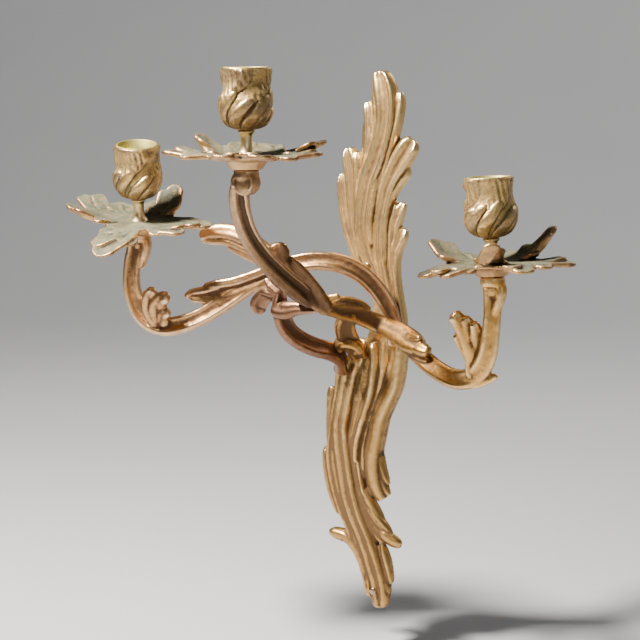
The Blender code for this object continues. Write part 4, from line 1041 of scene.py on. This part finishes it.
def build_liner(name, matrix):
    foot, top = CUP_FLOOR + PLAY, CUP_HEIGHT + 0.4
    profile = [
        (0.5, foot + 1), (liner_radius(foot) - 1.6, foot + 1), (liner_radius(foot) - 1, foot + 1.6),
        (liner_radius(BORE_MIDDLE) - 1, BORE_MIDDLE), (liner_radius(top) - 1, top - 0.4),
        (liner_radius(top) - 0.6, top), (liner_radius(top) - 0.1, top - 0.1),
        (liner_radius(top), top - 0.5), (liner_radius(BORE_MIDDLE), BORE_MIDDLE),
        (liner_radius(foot), foot), (0.5, foot),
    ]
    lifted = [(r, h + STEM_TOP) for r, h in profile]
    obj = mesh_object(f"cup_liner_{name}_spun", [moved(spun(lifted, 96), matrix)])
    dress(obj, FINISHES["liner"], f"cup_{name}", [f"cup_liner_{name}"], matrix[:3, 2])


def unit_matrices():
    """Each candle unit's frame, from the joint that its drip pan turns on."""
    made = {}
    for joint in frame["joints"]:
        if joint["name"].startswith("pan_"):
            turn = Vector((0, 0, 1)).rotation_difference(Vector(joint["axis"])).to_matrix().to_4x4()
            place = Matrix.Translation(Vector(joint["pos_m"]) / MM)
            made[joint["name"].split("_")[1]] = np.array(place @ turn)
    return made


# -------- small parts


def build_wall_pins():
    """Round-headed pins through the plate, as long as their CAD nodes."""
    for name in ("upper", "lower"):
        node = f"wall_pin_{name}"
        low, high = (np.array(corner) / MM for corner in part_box(node))
        centre, front = (low + high) / 2, low[1]
        head = ball((centre[0], front + 1.2, centre[2]), (PIN_HEAD, 1.2, PIN_HEAD))
        shank = spun([(PIN_SHANK, 0), (PIN_SHANK, high[1] - front - 1)], 32)
        points = shank[0] @ np.array(Matrix.Rotation(-math.pi / 2, 3, "X")).T
        shank = (points + np.array([centre[0], front + 1, centre[2]]), shank[1])
        cast(f"{node}_turned", [head, shank], FINISHES["pin"], "frame", [node],
             voxel=0.25, skin=0.0)


def finish_hidden_steel():
    """The studs, screws and junction pins keep their CAD shape and get a steel finish."""
    for name, obj in frame["nodes"].items():
        if name.startswith(("stud_", "junction_pin_")) or name.endswith("_screw"):
            for slot in obj.material_slots:
                slot.material = FINISHES["steel"]


# -------- stage


def pale_paint():
    f = Finish("pale_floor")
    cloudy = f.noise(300, 3, 0.5)
    return f.set(Base_Color=f.between(cloudy, (0.44, 0.44, 0.45), (0.48, 0.48, 0.48)), Roughness=0.75)


def build_floor():
    """A pale floor that rises in a wide bowl, so that no view meets its edge."""
    profile = [(0.01, 0), (1200, 0), (2200, 60), (3000, 550), (3500, 1500), (3700, 3000)]
    profile = [(radius, FLOOR_LEVEL + rise) for radius, rise in profile]
    rows = smooth_rows(profile, 6)
    steps = 96
    rings = [circle(radius, height, steps) for radius, height in rows]
    floor = mesh_object("floor", [(np.vstack(rings), ring_faces(len(rows), steps))])
    floor.data.shade_smooth()
    floor.data.materials.append(pale_paint())


def area_light(name, place, target, size, watts, colour=(1, 1, 1)):
    data = bpy.data.lights.new(name, "AREA")
    data.shape = "DISK"
    data.size = size
    data.energy = watts
    data.color = colour
    light = bpy.data.objects.new(name, data)
    light.location = place
    light.rotation_euler = (Vector(target) - Vector(place)).to_track_quat("-Z", "Y").to_euler()
    bpy.context.scene.collection.objects.link(light)


def build_lights():
    world = bpy.data.worlds.new("studio")
    world.use_nodes = True
    world.node_tree.nodes["Background"].inputs["Color"].default_value = (0.86, 0.88, 0.92, 1)
    world.node_tree.nodes["Background"].inputs["Strength"].default_value = 0.09
    bpy.context.scene.world = world
    area_light("key", (-0.42, -0.62, 0.9), SCONCE_MIDDLE, 0.22, 80, (1.0, 0.97, 0.93))
    area_light("fill", (1.7, -1.8, 0.6), SCONCE_MIDDLE, 1.0, 4, (0.94, 0.97, 1.0))
    area_light("back", (0.6, 1.6, 1.3), SCONCE_MIDDLE, 1.0, 6)
    area_light("backdrop", (0.2, 1.0, 1.9), (-1.2, 4.0, 0.6), 1.2, 32)


def build_camera():
    azimuth, elevation = math.radians(CAMERA_AZIMUTH), math.radians(CAMERA_ELEVATION)
    way = Vector((-math.sin(azimuth) * math.cos(elevation), math.cos(azimuth) * math.cos(elevation),
                  -math.sin(elevation)))
    data = bpy.data.cameras.new("camera")
    data.sensor_width = CAMERA_SENSOR
    data.lens = CAMERA_LENS
    camera = bpy.data.objects.new("camera", data)
    camera.location = CAMERA_PLACE
    camera.rotation_euler = way.to_track_quat("-Z", "Y").to_euler()
    bpy.context.scene.collection.objects.link(camera)
    bpy.context.scene.camera = camera


def main():
    units = unit_matrices()
    build_backplate()
    build_arms(units)
    for name, matrix in units.items():
        build_pan(name, matrix)
        build_stem(name, matrix)
        build_cup(name, matrix, *CUP_LEAVES[name])
        build_liner(name, matrix)
    build_wall_pins()
    finish_hidden_steel()
    build_floor()
    build_lights()
    build_camera()


main()
